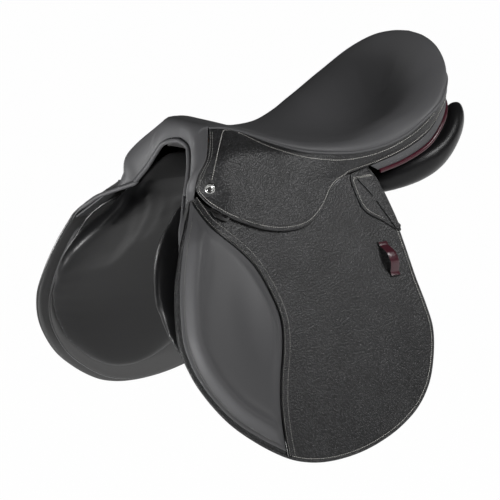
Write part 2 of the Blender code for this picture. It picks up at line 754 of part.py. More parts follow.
def keeper_loop():
    """A leather loop that stands off the flap for the loose end of a stirrup leather."""
    place, middle = KEEPER_PLACE
    profile = [(-0.5, 0.0), (-0.36, 0.0), (-0.28, 0.45), (-0.14, 0.9), (0.0, 1.0), (0.14, 0.9), (0.28, 0.45),
               (0.36, 0.0), (0.5, 0.0)]
    front = []
    rear = []
    for along, height in profile:
        depth = middle + along * KEEPER_REACH
        for thick in (0.0, KEEPER_LEATHER):
            lift = GAP + height * KEEPER_ROOM + thick
            lean = along * KEEPER_LEAN
            front.append((flank(place + KEEPER_WIDTH / 2 - lean, depth, lift), thick))
            rear.append((flank(place - KEEPER_WIDTH / 2 - lean, depth, lift), thick))
    top = []
    bottom = []
    for f, r in zip(front, rear):
        target = top if f[1] else bottom
        target += [f[0], r[0]]
    return between_sheets(top, bottom, grid_faces(len(profile), 2))


def make_under_flap():
    """Sweat flap, blocks, billets with their webs, and the billet guard."""
    both_sides("sweat_flap", *plate(SWEAT_OUTLINE, SWEAT_INNER, SWEAT_OUTER), "lining_leather")
    block_low = SWEAT_OUTER + GAP
    block_high = FLAP_INNER - GAP
    both_sides("knee_block", *plate(KNEE_BLOCK_OUTLINE, block_low, block_high), "smooth_calf")
    both_sides("thigh_block", *plate(THIGH_BLOCK_OUTLINE, block_low, block_high), "smooth_calf")
    middle = (SWEAT_OUTER + FLAP_INNER) / 2
    for order, name in enumerate(("rear", "middle", "front")):
        place = BILLET_MIDDLE_PLACE + (order - 1) * BILLET_PITCH
        both_sides("billet_" + name, *billet(place), "strap_leather", strap_plane(place, BILLET_WIDTH / 2, 0.0))
    half = BILLET_WIDTH / 2
    first = BILLET_MIDDLE_PLACE + BILLET_PITCH
    both_sides("billet_web_front", *billet_web(first - half, first + half, middle), "webbing")
    both_sides("billet_web_rear", *billet_web(BILLET_MIDDLE_PLACE - BILLET_PITCH - half,
                                              BILLET_MIDDLE_PLACE + half, middle), "webbing")
    guard_low = BILLET_LEATHER / 2 + GAP
    guard = plate(GUARD_OUTLINE, guard_low, guard_low + GUARD_LEATHER, strap_plane)
    both_sides("billet_guard", *guard, "strap_leather")


def strap_plane(place, along, lift):
    """A point in the plane that the billets lie in, at a distance along it below their tops."""
    middle = (SWEAT_OUTER + FLAP_INNER) / 2
    top = flank(place, BILLET_TOP_DEPTH, middle)
    down = (flank(place, BILLET_FOOT_DEPTH, middle) - top).normalized()
    return top + down * along + Vector((1, 0, 0)).cross(down) * lift


def billet(place):
    """A straight strap with a round top, a pointed foot and a row of buckle holes."""
    length = BILLET_FOOT_DEPTH - BILLET_TOP_DEPTH
    half = BILLET_WIDTH / 2
    outline = []
    for n in range(7):
        angle = math.pi * n / 6
        outline.append((place + half * math.cos(angle), half - half * math.sin(angle)))
    point = half * POINT_SHARE
    outline += [(place - half, length - half), (place - point, length), (place + point, length),
                (place + half, length - half)]
    holes = []
    for n in range(HOLE_COUNT):
        centre = length - LAST_HOLE - n * HOLE_PITCH
        ring = []
        for s in range(6):
            angle = 2 * math.pi * s / 6
            ring.append((place + HOLE_DIAMETER / 2 * math.cos(angle), centre + HOLE_DIAMETER / 2 * math.sin(angle)))
        holes.append(ring)
    return plate(outline, -BILLET_LEATHER / 2, BILLET_LEATHER / 2, strap_plane, holes, step=length)


def tree_edge(place):
    """The outer edge of the tree at a forward place, half way through its thickness."""
    points, index = merged(seat_sheet()[0])
    normals = normals_of(points, renumbered(seat_sheet()[1], index))
    depth = COVER_LEATHER + FOAM_THICKNESS + WEB_THICKNESS + TREE_THICKNESS / 2 + 3 * GAP
    columns = SPINE_SPANS + ROLL_SPANS + 1
    edges = []
    for row in range(SEAT_ROWS):
        i = index[row * columns + SPINE_SPANS - 1]
        edges.append(points[i] - normals[i] * depth)
    row = max(n for n in range(SEAT_ROWS - 1) if edges[n].x >= place)
    ahead, behind = edges[row], edges[row + 1]
    edge = ahead.lerp(behind, (ahead.x - place) / (ahead.x - behind.x))
    return Vector((place, edge.y + WEB_STRAP_THICKNESS / 2 + 2 * GAP, edge.z))


def billet_web(rear, front, middle):
    """Webbing from the tree's edge down to the tops of the billets."""
    rows = []
    for step in range(4):
        place = rear + (front - rear) * step / 3
        stops = [tuple(tree_edge(place)), tuple(flank(place, 26, middle - 3)), tuple(flank(place, 52, middle)),
                 tuple(flank(place, BILLET_TOP_DEPTH - 0.6, middle))]
        rows.append([Vector(p) for p in smooth(stops, 7)])
    return thick_sheet(*sheet_of(rows), -WEB_STRAP_THICKNESS / 2, WEB_STRAP_THICKNESS)


def make_stirrup_bars():
    """A forged bar open to the rear, and the catch pinned on the tongue at its end."""
    plate_outer = BAR_PLATE_INNER + BAR_PLATE
    tongue_outer = BAR_OUTER - BAR_STEP
    bar_inner = BAR_OUTER - BAR_THICKNESS
    tongue_rear = BAR_REAR + 4
    tongue_front = tongue_rear + TONGUE_LENGTH
    neck = BAR_FRONT + 4
    outline = [(BAR_REAR, BAR_PLATE_INNER), (neck + BAR_NECK, BAR_PLATE_INNER), (neck + BAR_NECK, BAR_OUTER),
               (tongue_front, BAR_OUTER), (tongue_front, tongue_outer), (tongue_rear, tongue_outer),
               (tongue_rear, bar_inner), (neck, bar_inner), (neck, plate_outer), (BAR_REAR, plate_outer)]
    high = [even_flank(a, BAR_DEPTH - BAR_WIDTH / 2, lift) for a, lift in outline]
    low = [even_flank(a, BAR_DEPTH + BAR_WIDTH / 2, lift) for a, lift in outline]
    both_sides("stirrup_bar", *block((high, low)), "bright_steel")
    half = CATCH_WIDTH / 2
    pin = catch_place()
    rear = tongue_front - 2 * GAP - CATCH_LENGTH
    outline = [(rear, BAR_DEPTH - half + 3), (rear, BAR_DEPTH + half - 3), (rear + 3, BAR_DEPTH + half)]
    for n in range(7):
        angle = math.pi / 2 - math.pi * n / 6
        outline.append((pin + half * math.cos(angle), BAR_DEPTH + half * math.sin(angle)))
    outline.append((rear + 3, BAR_DEPTH - half))
    catch = plate(outline, tongue_outer + GAP, tongue_outer + GAP + CATCH_THICKNESS)
    both_sides("bar_catch", *catch, "bright_steel", catch_pivot())


def catch_place():
    """The forward place of the catch's pin: its round end just clears the step of the bar."""
    return BAR_REAR + 4 + TONGUE_LENGTH - 2 * GAP - CATCH_WIDTH / 2


def catch_pivot():
    """The catch's pin, on the tongue at the bar's rear end."""
    return flank(catch_place(), BAR_DEPTH, BAR_OUTER)


def make_panels():
    """The flocked panel under the seat, its flap down the side, and the gullet lining between."""
    rows = smooth(PANEL_STATIONS, PANEL_ROWS)
    points = []
    for x, yi, zr, zi, yt, zt, ys, zs, yl, zl in rows:
        stops = [(yi, zr), ((yi + yt) / 2, (zr + zt) / 2 + 0.5), (yt, zt), (ys, zs), (yl, zl),
                 ((yi + yl) / 2, (zi + zl) / 2 - 2.0), (yi, zi)]
        points += [Vector((x, y, z)) for y, z in smooth(stops, PANEL_RING, closed=True)]
    faces = []
    for r in range(len(rows) - 1):
        for c in range(PANEL_RING):
            a = r * PANEL_RING + c
            b = r * PANEL_RING + (c + 1) % PANEL_RING
            faces.append((a, b, b + PANEL_RING, a + PANEL_RING))
    faces.append(tuple(reversed(range(PANEL_RING))))
    faces.append(tuple((len(rows) - 1) * PANEL_RING + c for c in range(PANEL_RING)))
    both_sides("panel", points, faces, "smooth_calf")

    def outer(across, along):
        edge = PANEL_EDGE_DROP * (1 - pillow(across, 0.5 + along / 2, 6))
        head = PANEL_HEAD_DROP * (1 - ease(along, 0.05, 0.25)) * ease(across, 0.3, 0.6)
        return PANEL_OUTER - edge - head

    def inner(across, along):
        wall = PANEL_WALL_DEPTH * math.cos(math.pi / 2 * min(1.0, along / PANEL_WALL_REACH)) * across ** 3
        crown = PANEL_FLAP_CROWN * pillow(across, 0.5 + along / 2, 4) * (1 - 0.45 * along)
        return PANEL_OUTER - PANEL_FLAP_EDGE - max(wall, 0.75 * wall + crown)

    panel_flap = leaf_solid(PANEL_WALL_OUTER, PANEL_FLAP_REAR, 16, 11, outer, inner, PANEL_WALL_INNER)
    both_sides("panel_flap", *panel_flap, "smooth_calf")
    roof = []
    for x, height, drop in smooth(GULLET_ROOF, 15):
        row = []
        for c in range(7):
            y = GULLET_HALF_WIDTH * (c - 3) / 3
            row.append(Vector((x, y, height - drop * (y / GULLET_HALF_WIDTH) ** 2)))
        roof.append(row)
    lining = thick_sheet(*sheet_of(roof), 0.0, LINING_LEATHER)
    make_object("gullet_lining", *lining, "lining_leather")


def make_pommel():
    """The facing round the arch, its piping, and the steel head plate behind it."""
    wall = wall_rows()[0]
    seat = seat_rows()[0]
    back = [p + Vector((FACING_GAP, 0, 0)) for p in list(reversed(wall[:-1])) + list(reversed(seat))[1:]]
    arch = [Vector(p) for p in smooth(ARCH_EDGE, len(back))]
    bulge = []
    for n in range(len(back)):
        share = n / (len(back) - 1)
        bulge.append((8.0 - 3.0 * share, 0, 2.0 + 3.0 * share))
    near = strip_between(back, arch, 6, bulge)
    off = [[Vector((p.x, -p.y, p.z)) for p in row] for row in reversed(near[:-1])]
    points, faces = sheet_of(near + off)
    make_object("pommel_facing", *thick_sheet(points, [tuple(reversed(f)) for f in faces], 0.0, ARCH_LEATHER),
                "smooth_calf")
    edge = [row[-1] for row in near + off]
    stand = PIPING_DIAMETER / 2 + PIPING_STAND
    path = [p + Vector((1.2, 0, -stand)) if abs(p.y) < 30 else
            p + Vector((1.2, -math.copysign(stand, p.y), -PIPING_STAND)) for p in edge]
    make_object("head_piping", *tube(path, PIPING_DIAMETER / 2), "smooth_calf")
    seat = BAR_PLATE_INNER - GAP - HEAD_PLATE_THICKNESS / 2
    legs = [flank(0, BAR_DEPTH + share * BAR_WIDTH, seat) for share in (-0.45, 0.0, 0.45)]
    half = smooth(HEAD_PLATE_ARCH + [(p.y, p.z) for p in legs], 17)
    arch_line = [(-y, z) for y, z in reversed(half[1:])] + half
    rows = [[Vector((x, y, z)) for x in (HEAD_PLATE_REAR, HEAD_PLATE_FRONT)] for y, z in arch_line]
    plate_solid = thick_sheet(*sheet_of(rows), -HEAD_PLATE_THICKNESS / 2, HEAD_PLATE_THICKNESS)
    make_object("gullet_plate", *plate_solid, "bright_steel")


def make_facings():
    """The black facing between the band and the panels, and the burgundy piping along its lower edge."""
    count = 17
    foot_line = [tuple(row[-1]) for row in wall_rows()[12:]]
    top = [Vector(p) for p in smooth(foot_line, count)]
    low = [Vector(p) for p in smooth(BLACK_FACING_FOOT, count)]
    near = []
    piping = []
    for a, b in zip(top, low):
        away = (b - a).normalized()
        near.append([a + away * SEAM_GAP, (a + b) / 2, b])
        piping.append(b + away * (REAR_PIPING_DIAMETER / 2 + SEAM_GAP))
    off = [[Vector((p.x, -p.y, p.z)) for p in row] for row in reversed(near[:-1])]
    points, faces = sheet_of(near + off)
    make_object("rear_facing", *thick_sheet(points, faces, 0.0, FACING_LEATHER), "smooth_calf")
    path = piping + [Vector((p.x, -p.y, p.z)) for p in reversed(piping[:-1])]
    make_object("rear_piping", *tube(path, REAR_PIPING_DIAMETER / 2), "burgundy_leather")


FINISHES = {}


def main():
    for old in list(bpy.data.objects):
        bpy.data.objects.remove(old)
    FINISHES.update(finish_list())
    make_seat()
    make_skirts()
    make_nails()
    make_flaps()
    make_under_flap()
    make_stirrup_bars()
    make_panels()
    make_pommel()
    make_facings()


if __name__ == "__main__":
    main()
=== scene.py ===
"""The looks of a close-contact jumping saddle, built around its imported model.

Sizes inside are in millimetres. A place on a side of the saddle is given by its forward place and its
depth down the flank, and by its lift, the distance out from the flap's outer face.
"""
import math

import bmesh
import bpy
from bpy.props import FloatProperty, FloatVectorProperty, PointerProperty
from mathutils import Matrix, Vector, noise
from mathutils.bvhtree import BVHTree


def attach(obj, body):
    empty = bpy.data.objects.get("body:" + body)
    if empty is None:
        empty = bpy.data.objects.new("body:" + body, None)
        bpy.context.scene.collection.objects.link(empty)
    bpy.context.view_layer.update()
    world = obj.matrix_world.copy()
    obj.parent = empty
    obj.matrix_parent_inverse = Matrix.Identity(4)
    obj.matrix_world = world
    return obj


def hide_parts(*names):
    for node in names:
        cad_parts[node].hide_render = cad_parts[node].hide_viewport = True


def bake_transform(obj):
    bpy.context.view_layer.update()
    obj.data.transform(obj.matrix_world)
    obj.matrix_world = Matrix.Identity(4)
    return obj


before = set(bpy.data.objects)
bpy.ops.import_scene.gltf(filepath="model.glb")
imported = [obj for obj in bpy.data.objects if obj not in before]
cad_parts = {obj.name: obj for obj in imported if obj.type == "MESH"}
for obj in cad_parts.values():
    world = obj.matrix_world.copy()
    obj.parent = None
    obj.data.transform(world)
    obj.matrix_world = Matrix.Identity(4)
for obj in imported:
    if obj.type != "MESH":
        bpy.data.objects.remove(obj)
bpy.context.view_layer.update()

bl_info = {
    "name": "Close-contact jumping saddle",
    "version": (1, 0, 0),
    "blender": (4, 5, 0),
    "location": "View3D > Sidebar > Saddle",
    "description": "Dresses the packed saddle in leather, stitching, panels and metal",
    "category": "Object",
}

MM = 0.001
SIDES = (("near", 1), ("off", -1))

# The flank: the outer face of the flap, which hangs from a line beside the tree
FLANK_HALF_WIDTH = 84.8
FLANK_TOP_HEIGHT = 78.5
SPLAY_AT_TOP = math.radians(24.6)
SPLAY_AT_FOOT = math.radians(18.6)
SPLAY_RUN = 420.0
SKIRT_OUTER = 4.0
SKIRT_FOLD_DEPTH = 48.5
FLAP_FOLD_DEPTH = 108.0
# Reach of the leather's bend to each side of a fold
SKIRT_BEND = 6.0
FLAP_BEND = 10.0
FLAP_INNER = -4.7
SWEAT_OUTER = -16.7

# The flank's front corner is drawn in towards the head, along a fixed way and between these limits
HEAD_TUCK = 30.0
TUCK_WAY = Vector((0.546, 0.808, 0.223))
TUCK_PLACES = (135.0, 198.0)
TUCK_DEPTHS = (38.0, 106.0)
TUCK_SINK = 1.5

# Thickness of the leathers
SEAT_LEATHER = 2.2
SKIRT_LEATHER = 3.2
FLAP_LEATHER = 4.4
PAD_LEATHER = 0.9
SWEAT_LEATHER = 3.0
PATCH_LEATHER = 1.7
CHAPE_LEATHER = 2.0
GUARD_LEATHER = 2.2
BLOCK_LEATHER = 1.1
STRAP_LEATHER = 4.0
FACING_LEATHER = 2.0
KEEPER_LEATHER = 2.3

# Radius of the cords and piping
WELT_RADIUS = 1.7
BAND_BEAD_RADIUS = 1.35
ARCH_PIPING_RADIUS = 3.0
ARCH_PIPING_TIP = 0.6
CANTLE_PIPING_RADIUS = 2.75

# Seat stations from the pommel to the cantle: spine x z, crest x y z, welt x y z
SEAT_STATIONS = [
    (128, 109, 128, 30, 109, 128, 45, 106),
    (110, 107.5, 110, 36, 107.5, 110, 52, 104.5),
    (92, 103, 91, 44, 102.5, 90, 60, 98),
    (65, 94, 62, 58, 92, 60, 74, 84),
    (38, 86, 35, 70, 84, 33, 86, 74),
    (10, 79, 6, 82, 78, 4, 97, 68),
    (-30, 73, -38, 97, 77, -40, 113, 65),
    (-65, 71.5, -75, 106, 86, -78, 126, 71),
    (-92, 72.5, -101, 112, 97, -109, 133, 83),
    (-115, 76, -130, 116, 110, -135, 136, 100),
    (-135, 83, -163, 113, 131, -162, 132, 117),
    (-152, 93, -190, 99, 156, -188, 112, 138),
    (-164, 103, -205, 66, 176, -208, 80, 147),
    (-171, 110, -213, 33, 185, -219, 40, 151),
    (-174, 113, -215, 0, 188, -222, 0, 152),
]

# The wall below the seat welt, at the same stations: middle x y z, and foot x y z, or on the flank its
# forward place and depth
WALL_STATIONS = [
    (151.8, 76, 76.2, 188.5, None, 38),
    (134, 86, 78.6, 165, None, SKIRT_FOLD_DEPTH),
    (112, 90, 78, 135, None, SKIRT_FOLD_DEPTH),
    (78, 91.5, 74.5, 95, None, SKIRT_FOLD_DEPTH),
    (48, 94.5, 67, 60, None, SKIRT_FOLD_DEPTH),
    (15, 101, 57, 25, None, SKIRT_FOLD_DEPTH),
    (-33, 110, 53, -25, None, SKIRT_FOLD_DEPTH),
    (-76, 117, 57, -72, None, 41),
    (-112, 129, 71, -112, 121, 59),
    (-141, 134, 90, -145, 128, 79),
    (-167, 128, 111, -172, 120, 101),
    (-193, 107, 125, -196, 100, 113),
    (-212, 77, 132, -213, 72, 119),
    (-222, 38, 136, -222, 36, 122),
    (-225, 0, 137, -225, 0, 123),
]
FLANK_STATIONS = 8

# Lower edge of the skirt from its front corner back to the band; the nail holds its first part down
SKIRT_LOW = [(188.5, 38), (183.5, 47.5), (173, 60), (151, 77), (127, 90), (102, 100), (75, 105), (49, 104),
             (30, 97), (11, 82), (-1, 67), (-16, 54), (-36, 45.5), (-55, 42), (-72, 41)]
CORNER_REAR = 134.5

# The arch piping's end on the flank, as forward place, depth and lift, and the arch edge of the pommel
# from its near foot to the middle
ARCH_TAIL = [(226, 108, -4.6), (221.5, 96, -4.6), (216, 82, -5), (210, 69, -5.5)]
ARCH_EDGE = [(173, 62, 28), (167, 57, 38), (160, 50, 50), (153, 42, 66), (148, 33, 79), (144, 19, 86),
             (142, 0, 89)]

# Facing under the band from the waist to the middle of the cantle
REAR_FACING_FOOT = [(-80, 110, 37), (-114, 121, 49), (-147, 127, 67), (-175, 119, 90), (-197, 99, 106),
                    (-214, 70, 113), (-222, 35, 116), (-225, 0, 117)]

# Roof of the gullet: x, height at the middle, drop at its sides
GULLET_ROOF = [(139, 83, 8), (120, 77, 6), (60, 55, 4), (0, 40, 3), (-50, 37, 3), (-110, 43, 3),
               (-150, 51, 3), (-185, 63, 3), (-212, 76, 3)]
GULLET_HALF_WIDTH = 34

# Outlines on the flank, as forward place and depth
FLAP_TOP = [(-70, 46), (-64, 34), (-52, 27), (-36, 25), (40, 25), (56, 28), (66, 39), (70, 55), (79, 65),
            (95, 67), (150, 67), (168, 65.5), (178, 60), (185, 53), (191, 49.5), (196, 51)]
FLAP_FRONT = [(210, 75), (222, 98), (227.5, 108), (243, 145), (254, 188), (257, 224), (246, 267), (218, 313),
              (184, 346), (146, 372), (113, 384), (79, 388)]
FLAP_REAR = [(42, 386), (8, 379), (-26, 367), (-59, 348), (-84, 322), (-100, 290), (-109, 256), (-107, 225),
             (-101, 188), (-96, 142), (-91.5, 108), (-86, 86), (-78, 62)]
BAND_EDGE = [(197, 50), (182, 80), (165, 99), (146, 119), (130, 142), (118, 175), (112, 209), (118, 242),
             (130, 276), (139, 310), (143, 342), (144, 371)]
PAD_FRONT = [(197, 50), (208, 76), (219, 98), (237.5, 145), (248.5, 189), (251.5, 224), (240.5, 266),
             (213, 310), (179, 341), (144, 365)]
PAD_REAR = BAND_EDGE[:-1] + PAD_FRONT[-1:]
SWEAT_OUTLINE = [(200, 66), (216, 102), (235, 145), (246, 189), (248, 224), (237, 263), (210, 306),
                 (178, 336), (142, 360), (110, 371), (79, 374), (45, 371), (14, 361), (-16, 345),
                 (-45, 320), (-66, 290), (-78, 255), (-82, 210), (-80, 165), (-76, 120), (-68, 66),
                 (-20, 58), (60, 58), (140, 58)]
PATCH_OUTLINE = [(-84, 76), (-78, 60), (-69, 48), (-41, 48), (-42, 80), (-50, 98), (-69, 111), (-93, 128),
                 (-93.5, 118), (-90, 100)]
CHAPE_OUTLINE = [(171, 63), (158, 70), (150, 76), (152, 80.5), (158, 80), (170, 72)]

# Places of the nail and of the keeper's middle, and how far the keeper's loop rises and leans back
NAIL_PLACE = (169.0, 39.5)
KEEPER_PLACE = (-66.0, 160.0)
KEEPER_HALF_WIDTH = 6.5
KEEPER_LENGTH = 44.0
KEEPER_RISE = 9.0
KEEPER_LEAN = 8.0

# Girth straps: forward places, width, depth of their tops, length, half width of the cut end, and their
# holes, of which the lowest lies at a distance from that end
BILLET_PLACES = {"rear": -8.0, "middle": 28.0, "front": 64.0}
BILLET_WIDTH = 25.0
BILLET_TOP_DEPTH = 84.0
BILLET_LENGTH = 268.0
BILLET_TIP = 4.4
HOLE_COUNT = 7
HOLE_PITCH = 25.0
HOLE_RADIUS = 2.5
LOWEST_HOLE = 30.0

# The guard over the straps, in their own plane
GUARD_OUTLINE = [(-22, 24), (28, 24), (78, 24), (80, 65), (80, 106), (60, 116), (-4, 116), (-24, 106),
                 (-24, 65)]
GUARD_OUTER = 4.5

# The foam blocks on the sweat flap: their low face, their rise, and the width of their rounded walls
KNEE_BLOCK_OUTLINE = [(218, 118), (234, 150), (243, 190), (244, 225), (234, 257), (212, 252), (209, 222),
                      (208, 190), (202, 152), (190, 122)]
THIGH_BLOCK_OUTLINE = [(-52, 215), (-50, 250), (-44, 285), (-58, 288), (-70, 258), (-76, 222),
                       (-66, 210)]
BLOCK_LOW = SWEAT_OUTER + 0.3
BLOCK_RISE = 10.0
BLOCK_WALL = 9.0


def linear(code):
    """Linear colour of an sRGB hex value."""
    shares = [int(code[n:n + 2], 16) / 255 for n in (0, 2, 4)]
    return [s / 12.92 if s <= 0.04045 else ((s + 0.055) / 1.055) ** 2.4 for s in shares]


def tuck(place, depth):
    """How far the flank is drawn in towards the head."""
    top = 0.5 + 0.5 * ease(depth, 0.0, TUCK_DEPTHS[0])
    return HEAD_TUCK * ease(place, *TUCK_PLACES) * top * (1 - ease(depth, *TUCK_DEPTHS))


def sunk_flank(place, depth, lift=0.0):
    """A flank point that lies a little deeper where the flank is drawn in."""
    return flank(place, depth, lift - TUCK_SINK * tuck(place, depth) / HEAD_TUCK)


def flank(place, depth, lift=0.0):
    """A point on the near side at a forward place, a depth down the flank and a lift."""
    turn = (SPLAY_AT_FOOT - SPLAY_AT_TOP) / SPLAY_RUN
    angle = SPLAY_AT_TOP + turn * depth
    y = FLANK_HALF_WIDTH + (math.cos(SPLAY_AT_TOP) - math.cos(angle)) / turn
    z = FLANK_TOP_HEIGHT - (math.sin(angle) - math.sin(SPLAY_AT_TOP)) / turn
    even = Vector((place, y + lift * math.cos(angle), z + lift * math.sin(angle)))
    return even - TUCK_WAY * tuck(place, depth)


def smooth(points, count, closed=False):
    """Points along a smooth curve through the given ones, evenly spread over its spans."""
    total = len(points)
    spans = total if closed else total - 1
    steps = count if closed else count - 1
    result = []
    for step in range(count):
        place = spans * step / steps
        span = min(int(place), spans - 1)
        t = place - span
        picks = []
        for shift in (-1, 0, 1, 2):
            index = span + shift
            picks.append(points[index % total if closed else min(max(index, 0), total - 1)])
        result.append(tuple(
            0.5 * (2 * b + (c - a) * t + (2 * a - 5 * b + 4 * c - d) * t * t
                   + (3 * b - a - 3 * c + d) * t ** 3)
            for a, b, c, d in zip(*picks)))
    return result


def run_along(line):
    """The distance from a line's start to each of its points."""
    run = [0.0]
    for a, b in zip(line, line[1:]):
        run.append(run[-1] + (b - a).length)
    return run


def points_at(line, run, targets):
    """Points at rising distances along a line whose points lie at the distances in run."""
    result = []
    index = 0
    for target in targets:
        while index < len(run) - 2 and run[index + 1] < target:
            index += 1
        share = (target - run[index]) / max(run[index + 1] - run[index], 1e-9)
        result.append(line[index].lerp(line[index + 1], min(max(share, 0.0), 1.0)))
    return result


def evenly(points, count=None, step=None, closed=False):
    """The line walked through the points at even distances, by a count of points or by a step."""
    line = [Vector(p) for p in points]
    if closed:
        line.append(line[0])
    run = run_along(line)
    if count is None:
        count = max(2, round(run[-1] / step) + (0 if closed else 1))
    spans = count if closed else count - 1
    return points_at(line, run, [run[-1] * n / spans for n in range(count)])


def curve(points, count=None, step=None, closed=False):
    """A smooth line through the points with its own points at even distances."""
    return evenly(smooth(points, len(points) * 16, closed), count, step, closed)


def mirrored(point):
    """The point's mirror image on the other side."""
    return Vector((point.x, -point.y, point.z))


def both_sides(half):
    """A near line that ends in the middle, carried on along the off side."""
    return half + [mirrored(p) for p in reversed(half[:-1])]


def bezier(p0, p1, p2, p3, t):
    """A point on a cubic Bezier curve."""
    s = 1 - t
    return s ** 3 * p0 + 3 * s * s * t * p1 + 3 * s * t * t * p2 + t ** 3 * p3


def bump(distance, width):
    """A bell of height 1 at distance 0."""
    return math.exp(-(distance / width) ** 2)


def ease(value, low, high):
    """0 below low, 1 above high, and smooth between."""
    t = min(max((value - low) / (high - low), 0.0), 1.0)
    return t * t * (3 - 2 * t)


class Shape:
    """Points and faces of a piece in millimetres, with a finish number for each face."""

    def __init__(self, points=(), faces=()):
        self.points = []
        self.faces = []
        self.finishes = []
        self.add(points, faces)

    def add(self, points, faces, finish=0):
        """Adds a part of the piece."""
        shift = len(self.points)
        self.points += [Vector(p) for p in points]
        self.faces += [tuple(i + shift for i in face) for face in faces]
        self.finishes += [finish] * len(faces)

    def other_side(self):
        """The shape's mirror image."""
        result = Shape()
        result.points = [mirrored(p) for p in self.points]
        result.faces = [tuple(reversed(face)) for face in self.faces]
        result.finishes = list(self.finishes)
        return result

    def surface(self):
        """A search tree of the shape's faces."""
        return BVHTree.FromPolygons([tuple(p) for p in self.points], self.faces)


def make_piece(name, shape, finishes, replaces=(), angle=50.0):
    """One mesh object of a shape, in metres, with its materials."""
    mesh = bpy.data.meshes.new(name)
    mesh.from_pydata([tuple(p * MM) for p in shape.points], [], shape.faces)
    for finish in finishes:
        mesh.materials.append(bpy.data.materials[finish])
    mesh.polygons.foreach_set("material_index", shape.finishes)
    work = bmesh.new()
    work.from_mesh(mesh)
    bmesh.ops.remove_doubles(work, verts=work.verts, dist=0.02 * MM)
    bmesh.ops.dissolve_degenerate(work, edges=work.edges, dist=0.005 * MM)
    bmesh.ops.recalc_face_normals(work, faces=work.faces)
    work.to_mesh(mesh)
    work.free()
    mesh.shade_smooth()
    mesh.set_sharp_from_angle(angle=math.radians(angle))
    piece = bpy.data.objects.new(name, mesh)
    bpy.context.scene.collection.objects.link(piece)
    if replaces:
        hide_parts(*replaces)
    return piece


def fold_line(depth, lift, sign, reach):
    """Start and end of the bend round a fold, as points in metres."""
    ends = [flank(60.0, depth + shift, lift) for shift in (-reach, reach)]
    return [Vector((p.x, sign * p.y, p.z)) * MM for p in ends]


def make_pair(name, shape, finishes, body=None, blend=None, replaces=(), angle=50.0):
    """The near piece and its mirror image, riding on a body, or, where it lies by a fold, on no body with its
    place baked in.
    """
    for side, sign in SIDES:
        own = shape if sign > 0 else shape.other_side()
        nodes = [side + "_" + node for node in replaces]
        piece = make_piece(side + "_" + name, own, finishes, nodes, angle)
        if blend:
            target, depth, lift, reach = blend
            start, end = fold_line(depth, lift, sign, reach)
            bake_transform(piece)
        else:
            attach(piece, "root" if body in (None, "root") else side + "_" + body)


def grid(rows, closed=False):
    """Points and faces of rows of points; closed joins each row's ends."""
    columns = len(rows[0])
    faces = []
    for r in range(len(rows) - 1):
        for c in range(columns if closed else columns - 1):
            i = r * columns + c
            j = r * columns + (c + 1) % columns
            faces.append((i, j, j + columns, i + columns))
    return [p for row in rows for p in row], faces


def normals_of(points, faces):
    """Area-weighted normals at the points."""
    sums = [Vector((0, 0, 0)) for _ in points]
    for face in faces:
        across = (points[face[2]] - points[face[0]]).cross(points[face[-1]] - points[face[1]])
        for i in face:
            sums[i] += across
    return [s.normalized() if s.length > 0 else Vector((0, 0, 1)) for s in sums]


def thicken(points, faces, thickness, rounding=0.5, edge_finish=0, back_finish=0):
    """A shape of even thickness under a sheet, with rounded edges and its own finishes on edge and back."""
    normals = normals_of(points, faces)
    edges = {}
    for face in faces:
        for a, b in zip(face, face[1:] + face[:1]):
            edges[(a, b)] = True
    border = [(a, b) for a, b in edges if (b, a) not in edges]
    shape = Shape()
    shape.add(points, faces)
    count = len(points)
    shape.add([p - n * thickness for p, n in zip(points, normals)], [tuple(reversed(f)) for f in faces],
              back_finish)
    outward = {}
    for a, b in border:
        side = (points[b] - points[a]).cross((normals[a] + normals[b]) / 2).normalized()
        outward[a] = outward.get(a, Vector((0, 0, 0))) + side
        outward[b] = outward.get(b, Vector((0, 0, 0))) + side
    ring = {}
    levels = (0.25, 0.75)
    base = len(shape.points)
    for n, i in enumerate(outward):
        away = outward[i].normalized() * rounding
        ring[i] = base + len(levels) * n
        shape.points += [points[i] - normals[i] * thickness * level + away for level in levels]
    for a, b in border:
        first, second = ring[a], ring[b]
        shape.faces += [(b, a, first, second), (second, first, first + 1, second + 1),
                        (second + 1, first + 1, a + count, b + count)]
        shape.finishes += [edge_finish] * 3
    return shape


def inset_of(outline, distance, tight=None):
    """The closed outline moved inwards by a distance; the outline runs so that its inside is on the left."""
    total = len(outline)
    result = []
    for n, p in enumerate(outline):
        along = outline[(n + 1) % total] - outline[n - 1]
        inward = Vector((-along.y, along.x)).normalized()
        result.append(p + inward * (distance * tight(p) if tight else distance))
    return result


def turned_left(outline):
    """The outline in the direction that keeps its inside on the left."""
    area = sum(a.x * b.y - b.x * a.y for a, b in zip(outline, outline[1:] + outline[:1]))
    return list(outline) if area > 0 else list(reversed(outline))


def opened(part):
    """What is kept of a closed outline, begun behind its widest gap."""
    start = max(range(len(part)), key=lambda n: (part[n] - part[n - 1]).length)
    return part[start:] + part[:start]


# Distances from a leather's edge at which its surface is laid
LEAF_INSETS = (0, 0.5, 1.2, 2, 3, 4, 5.2, 7, 10, 14)


